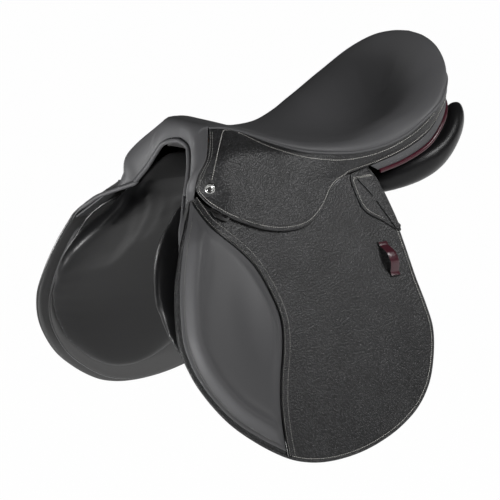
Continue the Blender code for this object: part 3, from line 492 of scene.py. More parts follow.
def leather_leaf(outline, centre, outer, thickness, relief=None, insets=LEAF_INSETS, rings=14, edge_finish=0,
                 back_finish=0, place=flank, tight=None):
    """A flat-cut leather laid on the flank in rings from its edge to a centre.

    relief gives the rise over the outer lift from the distance to the edge and the place, and tight the
    share of each inset that is kept at a place."""
    outline = turned_left(outline)
    middle = Vector(centre)
    levels = []
    for distance in insets:
        levels.append([(p, distance) for p in inset_of(outline, distance, tight)])
    last = levels[-1]
    for ring in range(1, rings):
        share = ring / rings
        levels.append([(p.lerp(middle, share), d + share * (middle - p).length) for p, d in last])
    rows = []
    for level in levels:
        rows.append([place(p.x, p.y, outer + (relief(d, p) if relief else 0.0)) for p, d in level])
    points, faces = grid(rows, closed=True)
    tip = len(points)
    points.append(place(middle.x, middle.y, outer + (relief(60.0, middle) if relief else 0.0)))
    start = (len(rows) - 1) * len(outline)
    faces += [(start + n, start + (n + 1) % len(outline), tip) for n in range(len(outline))]
    return thicken(points, faces, thickness, min(0.6, thickness / 4), edge_finish, back_finish)


def distance_to(line, place):
    """The shortest distance from a place to a line of flank places."""
    best = 1e9
    for a, b in zip(line, line[1:]):
        run = b - a
        share = min(max((place - a).dot(run) / max(run.length_squared, 1e-9), 0.0), 1.0)
        best = min(best, (a + run * share - place).length)
    return best


def ribbon(line, profile):
    """A strip behind a line of flank places that runs down; profile gives distances back and lifts."""
    rows = []
    total = len(line)
    for n, p in enumerate(line):
        along = line[min(n + 1, total - 1)] - line[max(n - 1, 0)]
        right = Vector((-along.y, along.x)).normalized()
        rows.append([sunk_flank(*(p + right * across), lift) for across, lift in profile])
    return grid(rows)


def tube(path, radius, sides=12):
    """Points and faces of a round tube along a path."""
    total = len(path)
    path = [Vector(p) for p in path]
    side = None
    rows = []
    for n, p in enumerate(path):
        along = (path[min(n + 1, total - 1)] - path[max(n - 1, 0)]).normalized()
        if side is None:
            side = along.cross(Vector((0, 0, 1)))
            if side.length < 0.2:
                side = along.cross(Vector((1, 0, 0)))
        side = (side - along * side.dot(along)).normalized()
        top = side.cross(along)
        size = radius(n / (total - 1)) if callable(radius) else radius
        rows.append([p + (side * math.cos(a) + top * math.sin(a)) * size for a in turns(sides)])
    points, faces = grid(rows, closed=True)
    return points, faces + caps(points, sides)


def turns(sides):
    """The angles of a full turn in even steps."""
    return [2 * math.pi * s / sides for s in range(sides)]


def caps(points, sides):
    """The end faces of a tube."""
    return [tuple(reversed(range(sides))), tuple(range(len(points) - sides, len(points)))]


# A stitch's rings: place along it and share of its thickness
STITCH_RINGS = ((-0.5, 0.3), (-0.42, 0.8), (-0.2, 1.0), (0.2, 1.0), (0.42, 0.8), (0.5, 0.3))
STITCH_SIDES = 6


def stitch_row(shape, surface, line, pitch=2.7, length=1.95, thick=0.8, sink=0.25):
    """Adds a row of thread stitches along a line, laid on a surface."""
    places = evenly(line, step=pitch)
    for a, b in zip(places, places[1:]):
        centre, normal = surface.find_nearest((a + b) / 2)[:2]
        along = b - a
        along = (along - normal * along.dot(normal)).normalized()
        side = normal.cross(along)
        centre = centre + normal * (thick / 2 - sink)
        rings = []
        for run, size in STITCH_RINGS:
            ring = []
            for turn in turns(STITCH_SIDES):
                offset = (side * math.cos(turn) + normal * math.sin(turn)) * (size * thick / 2)
                ring.append(centre + along * run * length + offset)
            rings.append(ring)
        points, faces = grid(rings, closed=True)
        shape.add(points, faces + caps(points, STITCH_SIDES))


def on_flank(line, lift=0.0):
    """Flank places as points in space."""
    return [flank(*p, lift) for p in line]


# Materials

# Widths in mm: the broad clouds in a leather's tone, its creases, and the clouds on steel
LEATHER_CLOUD = 45.0
CREASE_SPACING = 11.0
STEEL_CLOUD = 12.0
# A wave node's bands lie 0.31 apart at scale 1, so ribs come out at 0.63 of the pitch that is asked for
RIB_SHARE = 3.14 / 6.283


def add_node(owner, kind, settings=(), links=()):
    """Adds a node to a material or the world with its settings, by attribute or socket, and its links.

    The setting stops holds a colour ramp's places and linear colours."""
    made = owner.node_tree.nodes.new(kind)
    for name, value in settings:
        if name == "stops":
            band = made.color_ramp
            while len(band.elements) < len(value):
                band.elements.new(0.5)
            for element, (place, colour) in zip(band.elements, value):
                element.position = place
                element.color = (*colour, 1.0)
        elif isinstance(name, str) and hasattr(made, name):
            setattr(made, name, value)
        else:
            made.inputs[name].default_value = value
    for name, output in links:
        owner.node_tree.links.new(output, made.inputs[name])
    return made


def new_material(name, colour, roughness, metallic=0.0, **sockets):
    """A Principled material with its fixed values set on its own sockets."""
    material = bpy.data.materials.new(name)
    material.use_nodes = True
    shader = material.node_tree.nodes["Principled BSDF"]
    shader.inputs["Base Color"].default_value = (*colour, 1.0)
    shader.inputs["Roughness"].default_value = roughness
    shader.inputs["Metallic"].default_value = metallic
    for socket, value in sockets.items():
        shader.inputs[socket.replace("_", " ")].default_value = value
    where = add_node(material, "ShaderNodeTexCoord").outputs["Object"]
    return material, shader, where


def shade(colour, factor):
    """A colour made lighter or darker."""
    return [min(1.0, c * factor) for c in colour]


def leather(name, colour, roughness, grain, depth, crease=0.0, shine=0.5, contrast=1.5):
    """Finished cowhide: grain cells of a size in mm, their depth in mm, and faint creases."""
    material, shader, where = new_material(name, colour, roughness, Specular_IOR_Level=shine)
    links = material.node_tree.links
    cell = grain * MM
    warp = add_node(material, "ShaderNodeTexNoise", [("Scale", 0.4 / cell), ("Detail", 2.0)],
                    [("Vector", where)])
    bent = add_node(material, "ShaderNodeVectorMath",
                    [("operation", "MULTIPLY_ADD"), (1, (cell, cell, cell))],
                    [(0, warp.outputs["Color"]), (2, where)])
    cells = add_node(material, "ShaderNodeTexVoronoi",
                     [("feature", "SMOOTH_F1"), ("Scale", 1 / cell), ("Smoothness", 0.4)],
                     [("Vector", bent.outputs[0])])
    domes = add_node(material, "ShaderNodeMapRange",
                     [("From Min", 0), ("From Max", 0.7), ("To Min", 1), ("To Max", 0)],
                     [("Value", cells.outputs["Distance"])])
    fine = add_node(material, "ShaderNodeTexNoise", [("Scale", 1 / (grain * 0.45 * MM)), ("Detail", 1.0)],
                    [("Vector", where)])
    height = add_node(material, "ShaderNodeMath", [("operation", "MULTIPLY_ADD"), (1, 0.45)],
                      [(0, fine.outputs["Fac"]), (2, domes.outputs["Result"])])
    broad = add_node(material, "ShaderNodeTexNoise",
                     [("Scale", 1 / (LEATHER_CLOUD * MM)), ("Detail", 4.0)], [("Vector", where)])
    raised = add_node(material, "ShaderNodeMapRange",
                      [("From Min", 0.2), ("From Max", 1.3), ("To Min", 0), ("To Max", 0.5)],
                      [("Value", height.outputs[0])])
    tone = add_node(material, "ShaderNodeMath", [("operation", "MULTIPLY_ADD"), (1, 0.5)],
                    [(0, broad.outputs["Fac"]), (2, raised.outputs["Result"])])
    stops = [(0.2, shade(colour, 1 / contrast)), (0.5, colour), (0.8, shade(colour, contrast))]
    tint = add_node(material, "ShaderNodeValToRGB", [("stops", stops)], [("Fac", tone.outputs[0])])
    links.new(tint.outputs["Color"], shader.inputs["Base Color"])
    gloss = add_node(material, "ShaderNodeMapRange",
                     [("From Min", 0.2), ("From Max", 0.8), ("To Min", roughness + 0.06),
                      ("To Max", roughness - 0.05)], [("Value", tone.outputs[0])])
    links.new(gloss.outputs["Result"], shader.inputs["Roughness"])
    surface = add_node(material, "ShaderNodeBump", [("Strength", 1.0), ("Distance", depth * MM)],
                       [("Height", height.outputs[0])])
    if crease:
        drawn = add_node(material, "ShaderNodeMapping", [("Scale", (1.0, 0.6, 1.6))], [("Vector", where)])
        lines = add_node(material, "ShaderNodeTexNoise",
                         [("Scale", 1 / (CREASE_SPACING * MM)), ("Detail", 2.0), ("Distortion", 0.6)],
                         [("Vector", drawn.outputs["Vector"])])
        surface = add_node(material, "ShaderNodeBump", [("Strength", 1.0), ("Distance", crease * MM)],
                           [("Height", lines.outputs["Fac"]), ("Normal", surface.outputs["Normal"])])
    links.new(surface.outputs["Normal"], shader.inputs["Normal"])


def metal(name, colour, roughness, scratch):
    """Polished or forged steel: fine scratches of a length in mm and a cloudy sheen."""
    material, shader, where = new_material(name, colour, roughness, 1.0)
    links = material.node_tree.links
    cloud = add_node(material, "ShaderNodeTexNoise", [("Scale", 1 / (STEEL_CLOUD * MM)), ("Detail", 5.0)],
                     [("Vector", where)])
    drawn = add_node(material, "ShaderNodeMapping", [("Scale", (1.0, 9.0, 9.0))], [("Vector", where)])
    lines = add_node(material, "ShaderNodeTexNoise", [("Scale", 1 / (scratch * MM)), ("Detail", 3.0)],
                     [("Vector", drawn.outputs["Vector"])])
    gloss = add_node(material, "ShaderNodeMapRange",
                     [("From Min", 0.3), ("From Max", 0.7), ("To Min", roughness - 0.06),
                      ("To Max", roughness + 0.1)], [("Value", cloud.outputs["Fac"])])
    links.new(gloss.outputs["Result"], shader.inputs["Roughness"])
    surface = add_node(material, "ShaderNodeBump", [("Strength", 0.5), ("Distance", 0.01 * MM)],
                       [("Height", lines.outputs["Fac"])])
    links.new(surface.outputs["Normal"], shader.inputs["Normal"])


def woven(name, colour, pitch, depth):
    """Plain-woven webbing or thread, with crossing ribs after a pitch in mm."""
    material, shader, where = new_material(name, colour, 0.85)
    links = material.node_tree.links
    ribs = []
    for axis in ("X", "Z"):
        wave = add_node(material, "ShaderNodeTexWave",
                        [("Scale", RIB_SHARE / (pitch * MM)), ("Distortion", 1.0), ("bands_direction", axis)],
                        [("Vector", where)])
        ribs.append(wave.outputs["Fac"])
    both = add_node(material, "ShaderNodeMath", [("operation", "MULTIPLY")], enumerate(ribs))
    stops = [(0.0, shade(colour, 0.55)), (0.6, colour), (1.0, shade(colour, 1.15))]
    tint = add_node(material, "ShaderNodeValToRGB", [("stops", stops)], [("Fac", both.outputs[0])])
    links.new(tint.outputs["Color"], shader.inputs["Base Color"])
    surface = add_node(material, "ShaderNodeBump", [("Strength", 1.0), ("Distance", depth * MM)],
                       [("Height", both.outputs[0])])
    links.new(surface.outputs["Normal"], shader.inputs["Normal"])


def layered(name, colour, layer, depth):
    """Beech laminate or moulded foam: layers of a thickness in mm that run with the shape."""
    material, shader, where = new_material(name, colour, 0.6)
    links = material.node_tree.links
    drawn = add_node(material, "ShaderNodeMapping", [("Scale", (0.08, 1.0, 1.0))], [("Vector", where)])
    grain = add_node(material, "ShaderNodeTexNoise", [("Scale", 1 / (layer * MM)), ("Detail", 6.0)],
                     [("Vector", drawn.outputs["Vector"])])
    stops = [(0.3, shade(colour, 0.6)), (0.55, colour), (0.75, shade(colour, 1.3))]
    tint = add_node(material, "ShaderNodeValToRGB", [("stops", stops)], [("Fac", grain.outputs["Fac"])])
    links.new(tint.outputs["Color"], shader.inputs["Base Color"])
    surface = add_node(material, "ShaderNodeBump", [("Strength", 1.0), ("Distance", depth * MM)],
                       [("Height", grain.outputs["Fac"])])
    links.new(surface.outputs["Normal"], shader.inputs["Normal"])


class SaddleSizes(bpy.types.PropertyGroup):
    """Sizes that a user would change."""

    stitch_pitch: FloatProperty(name="Stitch pitch",
                                description="Distance from stitch to stitch in millimetres",
                                default=2.7, min=1.5, max=6.0)
    thread: FloatProperty(name="Thread", description="Thickness of the white thread in millimetres",
                          default=0.95, min=0.3, max=1.6)
    grain: FloatProperty(name="Grain", description="Width of the grained leather's cells in millimetres",
                         default=2.2, min=0.5, max=4.0)
    pad_roll: FloatProperty(name="Knee roll", description="Rise of the knee pad's front roll in millimetres",
                            default=9.5, min=0.0, max=12.0)
    pad_dome: FloatProperty(name="Knee dome", description="Rise of the knee pad's lower dome in millimetres",
                            default=8.5, min=0.0, max=12.0)


class SaddleColours(bpy.types.PropertyGroup):
    """Colours that a user would change."""

    calf: FloatVectorProperty(name="Calf", description="Smooth calf of seat, pads and panels",
                              subtype="COLOR", default=linear("19191A"))
    grained: FloatVectorProperty(name="Grained leather", description="Grained leather of skirts and flaps",
                                 subtype="COLOR", default=linear("303031"))
    thread: FloatVectorProperty(name="Thread", description="Waxed thread of the stitching", subtype="COLOR",
                                default=linear("EAE8E2"))
    burgundy: FloatVectorProperty(name="Burgundy", description="Piping and keeper faces", subtype="COLOR",
                                  default=linear("4A1624"))


def sizes():
    """The sizes of the open scene."""
    return bpy.context.scene.saddle_sizes


def colours():
    """The colours of the open scene."""
    return bpy.context.scene.saddle_colours


NODE_FINISHES = {
    "smooth_calf": ("knee_block", "thigh_block", "seat_cover", "knee_pad", "panel", "panel_flap",
                    "pommel_facing", "head_piping", "rear_facing"),
    "grained_hide": ("skirt_top", "skirt_corner", "skirt", "flap_top", "flap", "flap_patch"),
    "lining_leather": ("sweat_flap", "gullet_lining"),
    "burgundy_calf": ("keeper", "rear_piping"),
    "bridle_leather": ("dee_chape", "billet_rear", "billet_middle", "billet_front", "billet_guard"),
    "cotton_webbing": ("seat_web", "billet_web_front", "billet_web_rear"),
    "latex_foam": ("seat_foam",),
    "beech_laminate": ("tree_frame",),
    "spring_steel": ("spring_steel",),
    "polished_steel": ("saddle_nail", "gullet_plate", "stirrup_bar", "bar_catch"),
}


class SADDLE_OT_finishes(bpy.types.Operator):
    """Makes the materials and gives each CAD node its own"""

    bl_idname = "saddle.finishes"
    bl_label = "Finishes"

    def execute(self, context):
        calf = tuple(colours().calf)
        # Aniline-finished calf: tight pores under a soft wax shine that spreads the highlights
        leather("smooth_calf", calf, 0.25, 0.9, 0.004, crease=0.03, shine=0.19, contrast=1.15)
        # Shrunken grain hide: rounded cells with dull valleys, so the light breaks into specks
        leather("grained_hide", tuple(colours().grained), 0.42, sizes().grain, 0.5, shine=0.5, contrast=2.6)
        # Edge paint: thick smooth lacquer that gives a thin bright line along each cut edge
        leather("painted_edge", linear("161617"), 0.28, 2.5, 0.02, shine=0.55, contrast=1.1)
        # Panel hide: the softest skin, faintly creased where the flocking presses
        leather("panel_calf", shade(calf, 0.95), 0.31, 0.9, 0.004, crease=0.05, shine=0.26, contrast=1.15)
        # Lining leather: thin, dull and even
        leather("lining_leather", linear("1A1A1B"), 0.5, 0.9, 0.04, contrast=1.2)
        # Dyed calf with a varnish shine
        leather("burgundy_calf", tuple(colours().burgundy), 0.3, 0.9, 0.03, shine=0.6, contrast=1.3)
        # Bridle leather: waxed strap butt, close and stiff
        leather("bridle_leather", linear("1F1E1E"), 0.42, 0.9, 0.04, contrast=1.3)
        # Waxed polyester thread, white gone slightly grey
        woven("waxed_thread", tuple(colours().thread), 0.5, 0.05)
        # Black thread of the hidden seams
        woven("black_thread", linear("2B2B2D"), 0.5, 0.05)
        # The same thread in mid grey, for the rows along the skirt's front edge and the knee pad's seam
        woven("grey_thread", linear("9A9A96"), 0.5, 0.05)
        # Painted shade: near-black woven cloth on the panels' sides in the channel, standing in for the shade
        # under the arch
        woven("black_twill", linear("0D0D0E"), 0.9, 0.05)
        # Undyed cotton webbing under the seat and over the billets
        woven("cotton_webbing", linear("B9AB8E"), 1.4, 0.2)
        # Latex foam: matt with small closed cells
        layered("latex_foam", linear("C9C2A8"), 1.6, 0.2)
        # Beech laminate under clear varnish
        layered("beech_laminate", linear("A9794A"), 1.2, 0.05)
        # Blued spring steel
        metal("spring_steel", linear("6D6F74"), 0.34, 1.2)
        # Polished stainless steel
        metal("polished_steel", linear("C6C6C4"), 0.2, 0.8)
        for finish, names in NODE_FINISHES.items():
            for name in names:
                for node in (name, "near_" + name, "off_" + name):
                    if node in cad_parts:
                        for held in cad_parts[node].material_slots:
                            held.material = bpy.data.materials[finish]
        return {"FINISHED"}


# Seat and pommel

# Rows from pommel to cantle, and steps of a row to the crest, over the roll and along the arch edge
SEAT_ROWS = 169
SPINE_SPANS = 30
ROLL_SPANS = 16
ARCH_SPANS = 96
# Width of the gap between seat and skirt, which the welt fills
WELT_GAP = 2.4


def seat_rows():
    """Rows of near-side seat points from the spine over the crest to the welt."""
    rows = []
    stations = smooth(SEAT_STATIONS, SEAT_ROWS)
    for n, (sx, sz, cx, cy, cz, wx, wy, wz) in enumerate(stations):
        before = stations[max(n - 1, 0)]
        after = stations[min(n + 1, len(stations) - 1)]
        slope = (after[1] - before[1]) / (after[0] - before[0])
        spine = Vector((sx, 0, sz))
        crest = Vector((cx, cy, cz))
        welt = Vector((wx, wy, wz))
        leave = Vector((cx - sx, cy, 0)) * 0.45
        leave.z = slope * leave.x
        reach = Vector((cx - sx, cy, 0)) * 0.3
        out = Vector((cx - sx, cy, 0)).normalized()
        spread_out = max((welt - crest).dot(out), 4.0)
        drop = Vector((0, 0, (cz - wz) * 0.5))
        row = [bezier(spine, spine + leave, crest - reach, crest, k / SPINE_SPANS)
               for k in range(SPINE_SPANS)]
        row += [bezier(crest, crest + out * spread_out * 0.5, welt + out * 0.8 + drop, welt, k / ROLL_SPANS)
                for k in range(ROLL_SPANS + 1)]
        rows.append(row)
    return rows


def wall_line():
    """Each row's stops below the welt, and its foot's place and depth where it stands on the flank."""
    front = 1 + (SEAT_ROWS - 1) * (FLANK_STATIONS - 1) // (len(WALL_STATIONS) - 1)
    labels = smooth([(stop[3], stop[5]) for stop in WALL_STATIONS[:FLANK_STATIONS]], front)
    last = flank(*labels[-1], SKIRT_OUTER)
    feet = smooth([tuple(last)] + [stop[3:] for stop in WALL_STATIONS[FLANK_STATIONS:]],
                  SEAT_ROWS - front + 1)
    middles = smooth([stop[:3] for stop in WALL_STATIONS], SEAT_ROWS)
    rows = []
    for n, (seat_row, middle) in enumerate(zip(seat_rows(), middles)):
        middle = Vector(middle)
        label = labels[n] if n < front else None
        if label:
            place, depth = label
            foot = flank(place, depth, SKIRT_OUTER)
            top = max(0.0, (FLANK_TOP_HEIGHT - middle.z) / math.cos(SPLAY_AT_TOP))
            ahead = tuck(place, depth) * TUCK_WAY.x
            half = flank((middle.x + place + ahead) / 2, (top + depth) / 2, SKIRT_OUTER)
            half = ((middle + foot) / 2).lerp(half, ease(place, 60, 130))
        else:
            foot = Vector(feet[n - front + 1])
            half = (middle + foot) / 2
        welt = seat_row[-1]
        start = welt + (middle - welt).normalized() * WELT_GAP
        rows.append(([start, middle, half, foot], label))
    return rows


def wall_row(stops, count):
    """Points down the wall through a row's stops."""
    return [Vector(p) for p in smooth([tuple(p) for p in stops], count)]


def arch_point(share):
    """A point on the arch edge, from its near foot at 0 to its middle at 1."""
    line = smooth(ARCH_EDGE, ARCH_SPANS + 1)
    place = share * ARCH_SPANS
    index = min(int(place), ARCH_SPANS - 1)
    return Vector(line[index]).lerp(Vector(line[index + 1]), place - index)


FACING_SPANS = 22
WALL_COLUMNS = 24
# Share of the arch edge that the wall's front, and not the seat's, runs to
WALL_SHARE = 1 / 3
# Under the flap the facing goes on through two rows, each given by its rear and front end as forward
# place, depth and lift; TAIL_ROWS is the number of rows from each to the next
FACING_TAIL = [[(196, 104, -5.6), (223, 104, -5.6)], [(193, 58, -5.6), (205, 58, -5.6)]]
TAIL_ROWS = 8
# Start of the facing, sunk under the skirt's edge
FACING_SINK = Vector((1.2, -0.6, -0.4))


def pommel_rows(seat_front, seat_second):
    """Rows of the pommel's front, from the seat and the skirt's edge forward to the arch."""
    wall = evenly(wall_row(wall_line()[0][0], 49), WALL_COLUMNS + 1)
    back = []
    for n, p in enumerate(reversed(wall)):
        share = n / WALL_COLUMNS
        ahead = Vector((0.75, -0.55 * (1 - share), -0.1))
        back.append((p + FACING_SINK, ahead.normalized(), WALL_SHARE * share))
    total = len(seat_front) - 1
    for n in range(total, -1, -1):
        p = seat_front[n]
        ahead = (p - seat_second[n]).normalized()
        back.append((p, ahead, 1 - (1 - WALL_SHARE) * n / total))
    rows = []
    for p, ahead, share in back:
        arch = arch_point(share)
        span = (arch - p).length
        lift = Vector((6.5 - 2.0 * share, 0, 2.5 + 5.0 * share)) * 1.33
        first = p + ahead * span * 0.36
        second = p.lerp(arch, 0.67) + lift
        rows.append([bezier(p, first, second, arch, k / FACING_SPANS) for k in range(FACING_SPANS + 1)])
    stops = []
    for behind, ahead in FACING_TAIL:
        behind, ahead = Vector(behind), Vector(ahead)
        stops.append([flank(*behind.lerp(ahead, k / FACING_SPANS)) for k in range(FACING_SPANS + 1)])
    stops.append(rows[0])
    tail = []
    for low, high in zip(stops, stops[1:]):
        tail += [[p.lerp(q, n / TAIL_ROWS) for p, q in zip(low, high)] for n in range(TAIL_ROWS)]
    return tail + rows


class SADDLE_OT_seat(bpy.types.Operator):
    """Builds the seat and pommel leather with the welt round the seat"""

    bl_idname = "saddle.seat"
    bl_label = "Seat"

    def execute(self, context):
        rows = seat_rows()
        shape = Shape(*grid(rows))
        points, faces = grid(pommel_rows(rows[0], rows[1]))
        shape.add(points, [tuple(reversed(f)) for f in faces])
        other = shape.other_side()
        shape.add(other.points, other.faces)
        thick = thicken(*joined(shape.points, shape.faces), SEAT_LEATHER, 0.4)
        piece = make_piece("seat_leather", thick, ["smooth_calf"],
                           ["seat_cover", "pommel_facing"], 80)
        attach(piece, "root")
        path = []
        for seat_row, (stops, _) in zip(rows, wall_line()):
            path.append((seat_row[-1] + stops[0]) / 2 + seat_out(seat_row) * 0.3)
        shape = Shape(*tube(evenly(both_sides(path), step=3.0), WELT_RADIUS, 10))
        piece = make_piece("seat_welt", shape, ["smooth_calf"])
        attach(piece, "root")
        return {"FINISHED"}


def seat_out(row):
    """The outward direction at the welt end of a seat row."""
    return Vector((row[-1].x - row[0].x, row[-1].y, 0)).normalized()


def joined(points, faces, grain=0.01):
    """Points that share a place become one, and faces that lost their area go."""
    seen = {}
    kept = []
    index = []
    for p in points:
        key = tuple(round(c / grain) for c in p)
        if key not in seen:
            seen[key] = len(kept)
            kept.append(p)
        index.append(seen[key])
    result = []
    for face in faces:
        ring = []
        for i in face:
            if not ring or index[i] != ring[-1]:
                ring.append(index[i])
        if ring[0] == ring[-1]:
            ring.pop()
        if len(ring) > 2:
            result.append(tuple(ring))
    return kept, result


# Skirts

# Distances from the skirt's lower edge at which its surface is laid, and all points of a row
LOW_INSETS = (0, 0.4, 0.9, 1.5, 2.2, 3.0, 3.8, 4.7, 5.5, 6.5, 8, 11)
SKIRT_COLUMNS = 44
# Steps down a row's wall and again down its free part, and points walked along the lower edge
ROW_SPANS = 24
LOW_STEPS = 400
# Distance of the white stitch row from the edges of skirt and flap
ROW_INSET = 4.6
# The white row on the skirt, from the pommel to the band
SKIRT_UPPER_ROW = [(148, 80, 48), (143, 80, 66), (137, 80, 88), (133, 80, 103), (124, 70, 105),
                   (112, 57, 102), (98, 59, 99), (66, 73, 80.5), (47, 82, 72), (18, 93, 62),
                   (-20, 107, 56), (-54, 118, 58), (-84, 128, 66), (-113, 134, 79), (-134, 136, 92),
                   (-151, 133.5, 104)]
# The grey rows along the skirt's front edge, by their distance from it
EDGE_ROWS = (2.0, 4.6)
# The nail's turned face: radius and height over the leather
NAIL_PROFILE = [(6.0, -0.9), (6.5, 0.2), (6.5, 1.0), (6.2, 1.7), (5.6, 2.2), (4.9, 2.3), (4.3, 1.9),
                (3.9, 1.2), (3.4, 0.8), (2.4, 0.65), (1.2, 0.6), (0.02, 0.6)]
NAIL_SIDES = 48


def edge_relief(distance):
    """Rise of a leather near its edge: a rounded bead, a creased groove and the dip of a stitch row."""
    rounded = -0.9 * max(0.0, 1 - distance / 1.3) ** 2
    bead = 0.25 * bump(distance - 1.8, 1.0)
    groove = 0.55 * bump(distance - 3.4, 0.55)
    dip = 0.3 * bump(distance - 5.5, 0.9)
    return rounded + bead - groove - dip


def front_relief(distance):
    """Rise of the skirt near its front edge: a bead and a groove, and a low ridge behind them."""
    return 0.7 * bump(distance - 1.6, 1.0) - 0.5 * bump(distance - 3.2, 0.6) + 0.3 * bump(distance - 4.8, 1.0)


def skirt_rows():
    """Rows of the skirt and band, from the welt to the lower edge."""
    wall = wall_line()
    run = run_along([stops[3] for stops, label in wall if label])
    low = curve(SKIRT_LOW, LOW_STEPS)
    cut = corner_row(wall)
    low_cut = next(n for n, p in enumerate(low) if p.x < CORNER_REAR)
    rows = []
    for n, (stops, label) in enumerate(wall):
        row = wall_row(stops, ROW_SPANS)
        if label:
            if n < cut:
                share = low_cut * run[n] / run[cut]
            else:
                share = low_cut + (LOW_STEPS - 1 - low_cut) * (run[n] - run[cut]) / (run[-1] - run[cut])
            edge = low[round(share)]
            foot = Vector(label)
            if edge.y > foot.y + 1.0:
                row += [flank(*foot.lerp(edge, k / ROW_SPANS), SKIRT_OUTER)
                        for k in range(1, ROW_SPANS + 1)]
        rows.append(row)
    return rows


def corner_row(wall):
    """The first row behind the corner that the nail holds down."""
    return next(n for n, (_, label) in enumerate(wall) if label and label[0] < CORNER_REAR)


def column_places(row):
    """A row's points at fixed distances near its lower edge and evenly above, each with its distance to
    the lower edge and to the welt."""
    line = list(reversed(row))
    run = run_along(line)
    total = run[-1]
    squeeze = min(1.0, total * 0.6 / LOW_INSETS[-1])
    targets = [d * squeeze for d in LOW_INSETS]
    rest = SKIRT_COLUMNS - len(LOW_INSETS)
    targets += [targets[-1] + (total - targets[-1]) * (k + 1) / rest for k in range(rest)]
    return [(p, target, total - target) for p, target in zip(points_at(line, run, targets), targets)]


class SADDLE_OT_skirts(bpy.types.Operator):
    """Builds the skirts with the cantle band, their stitching and the nails"""

    bl_idname = "saddle.skirts"
    bl_label = "Skirts"

    def execute(self, context):
        rows = [column_places(row) for row in skirt_rows()]
        points, faces = grid([[p for p, _, _ in row] for row in rows])
        faces = [tuple(reversed(f)) for f in faces]
        normals = normals_of(points, faces)
        relief = []
        front = [p for p, _, _ in rows[0]]
        for row in rows:
            for (p, low, high), edge in zip(row, front):
                behind = (p - edge).length
                rise = edge_relief(low) - 0.5 * max(0.0, 1 - high / 1.2) ** 2
                if behind < 12:
                    rise += front_relief(behind)
                relief.append(rise)
        points = [p + n * r for p, n, r in zip(points, normals, relief)]
        points = [Vector((p.x, max(p.y, 0.1), p.z)) for p in points]
        first_free = (corner_row(wall_line()) + 1) * SKIRT_COLUMNS
        halves = []
        for kept in ([f for f in faces if max(f) < first_free], [f for f in faces if max(f) >= first_free]):
            halves.append(thicken(*joined(points, kept), SKIRT_LEATHER, 0.4, edge_finish=1, back_finish=2))
        fold = ("skirt", SKIRT_FOLD_DEPTH, SKIRT_OUTER, SKIRT_BEND)
        finishes = ["grained_hide", "painted_edge", "lining_leather"]
        make_pair("skirt_corner_leather", halves[0], finishes, body="root",
                  replaces=["skirt_corner"])
        make_pair("skirt_leather", halves[1], finishes, blend=fold,
                  replaces=["skirt_top", "skirt"])
        surface = BVHTree.FromPolygons([tuple(p) for p in points], faces)
        pitch, thread = sizes().stitch_pitch, sizes().thread
        low_row = [column_point(row, ROW_INSET) for row in rows[3:] if row[-1][1] > 14]
        fixed, free = Shape(), Shape()
        upper_row = cast_on(surface, curve(SKIRT_UPPER_ROW, step=2.0))
        stitch_row(fixed, surface, upper_row, pitch, 1.9, thread)
        split = next(n for n, p in enumerate(low_row) if p.x < CORNER_REAR)
        stitch_row(fixed, surface, low_row[:split], pitch, 1.9, thread)
        stitch_row(free, surface, low_row[split:], pitch, 1.9, thread)
        make_pair("skirt_fixed_stitching", fixed, ["waxed_thread"], body="root")
        make_pair("skirt_stitching", free, ["waxed_thread"], blend=fold)
        dark = Shape()
        for inset in EDGE_ROWS:
            line = []
            for c in range(2, SKIRT_COLUMNS - 2):
                line.append(next(row[c][0] for row in rows if (row[c][0] - front[c]).length >= inset))
            stitch_row(dark, surface, line, pitch, 1.8, thread * 0.85)
        make_pair("skirt_edge_stitching", dark, ["grey_thread"], body="root")
        self.make_nails(surface)
        return {"FINISHED"}

    def make_nails(self, surface):
        """Turned steel nails with a plain dished face."""
        outer = flank(*NAIL_PLACE, 40)
        inward = (flank(*NAIL_PLACE, 0) - outer).normalized()
        centre, normal = surface.ray_cast(outer, inward)[:2]
        forward = (Vector((1, 0, 0)) - normal * normal.x).normalized()
        down = normal.cross(forward)
        rows = [[centre + normal * height + (forward * math.cos(a) + down * math.sin(a)) * radius
                 for a in turns(NAIL_SIDES)] for radius, height in NAIL_PROFILE]
        shape = Shape(*grid(rows, closed=True))
        shape.add(rows[0], [tuple(range(NAIL_SIDES))])
        make_pair("nail", shape, ["polished_steel"], body="root", replaces=["saddle_nail"])


def cast_on(surface, line):
    """A line laid on a surface from the front and side, or where that misses, at the nearest places."""
    result = []
    for p in line:
        hit = surface.ray_cast(p + TUCK_WAY * 60, -TUCK_WAY, 120)[0]
        result.append(hit or surface.find_nearest(p)[0])
    return result


def column_point(row, distance):
    """The point of a row at a distance from its lower edge."""
    for (p, low, _), (q, next_low, _) in zip(row, row[1:]):
        if next_low >= distance:
            return p.lerp(q, (distance - low) / max(next_low - low, 1e-9))
    return row[-1][0]


# Flaps

FLAP_CENTRE = (40, 230)
FLAP_FOLD = ("flap", FLAP_FOLD_DEPTH, 0.0, FLAP_BEND)
# Section of the band along the knee pad: distance back from its front edge and lift
BAND_PROFILE = [(0, 0.1), (0.3, 1.0), (1.0, 1.5), (1.9, 1.5), (2.5, 1.1), (3.0, 0.75), (3.6, 1.0), (5, 1.1),
                (7.5, 1.1), (9.6, 1.05), (10.4, 0.85), (11.2, 0.95), (11.8, 0.7), (12.1, -0.4)]


def flap_outline():
    """The flap's whole outline at even steps."""
    return curve([*FLAP_TOP, *FLAP_FRONT, *FLAP_REAR], step=3.4, closed=True)


def flap_relief(distance, place):
    """Rise of the flap: its edge, and a slight sag between the fold and the foot."""
    rise = edge_relief(distance)
    wave = noise.noise(Vector((place.x * 0.008, place.y * 0.008, 3.0)))
    return rise + ease(distance, 8, 40) * wave * 0.9


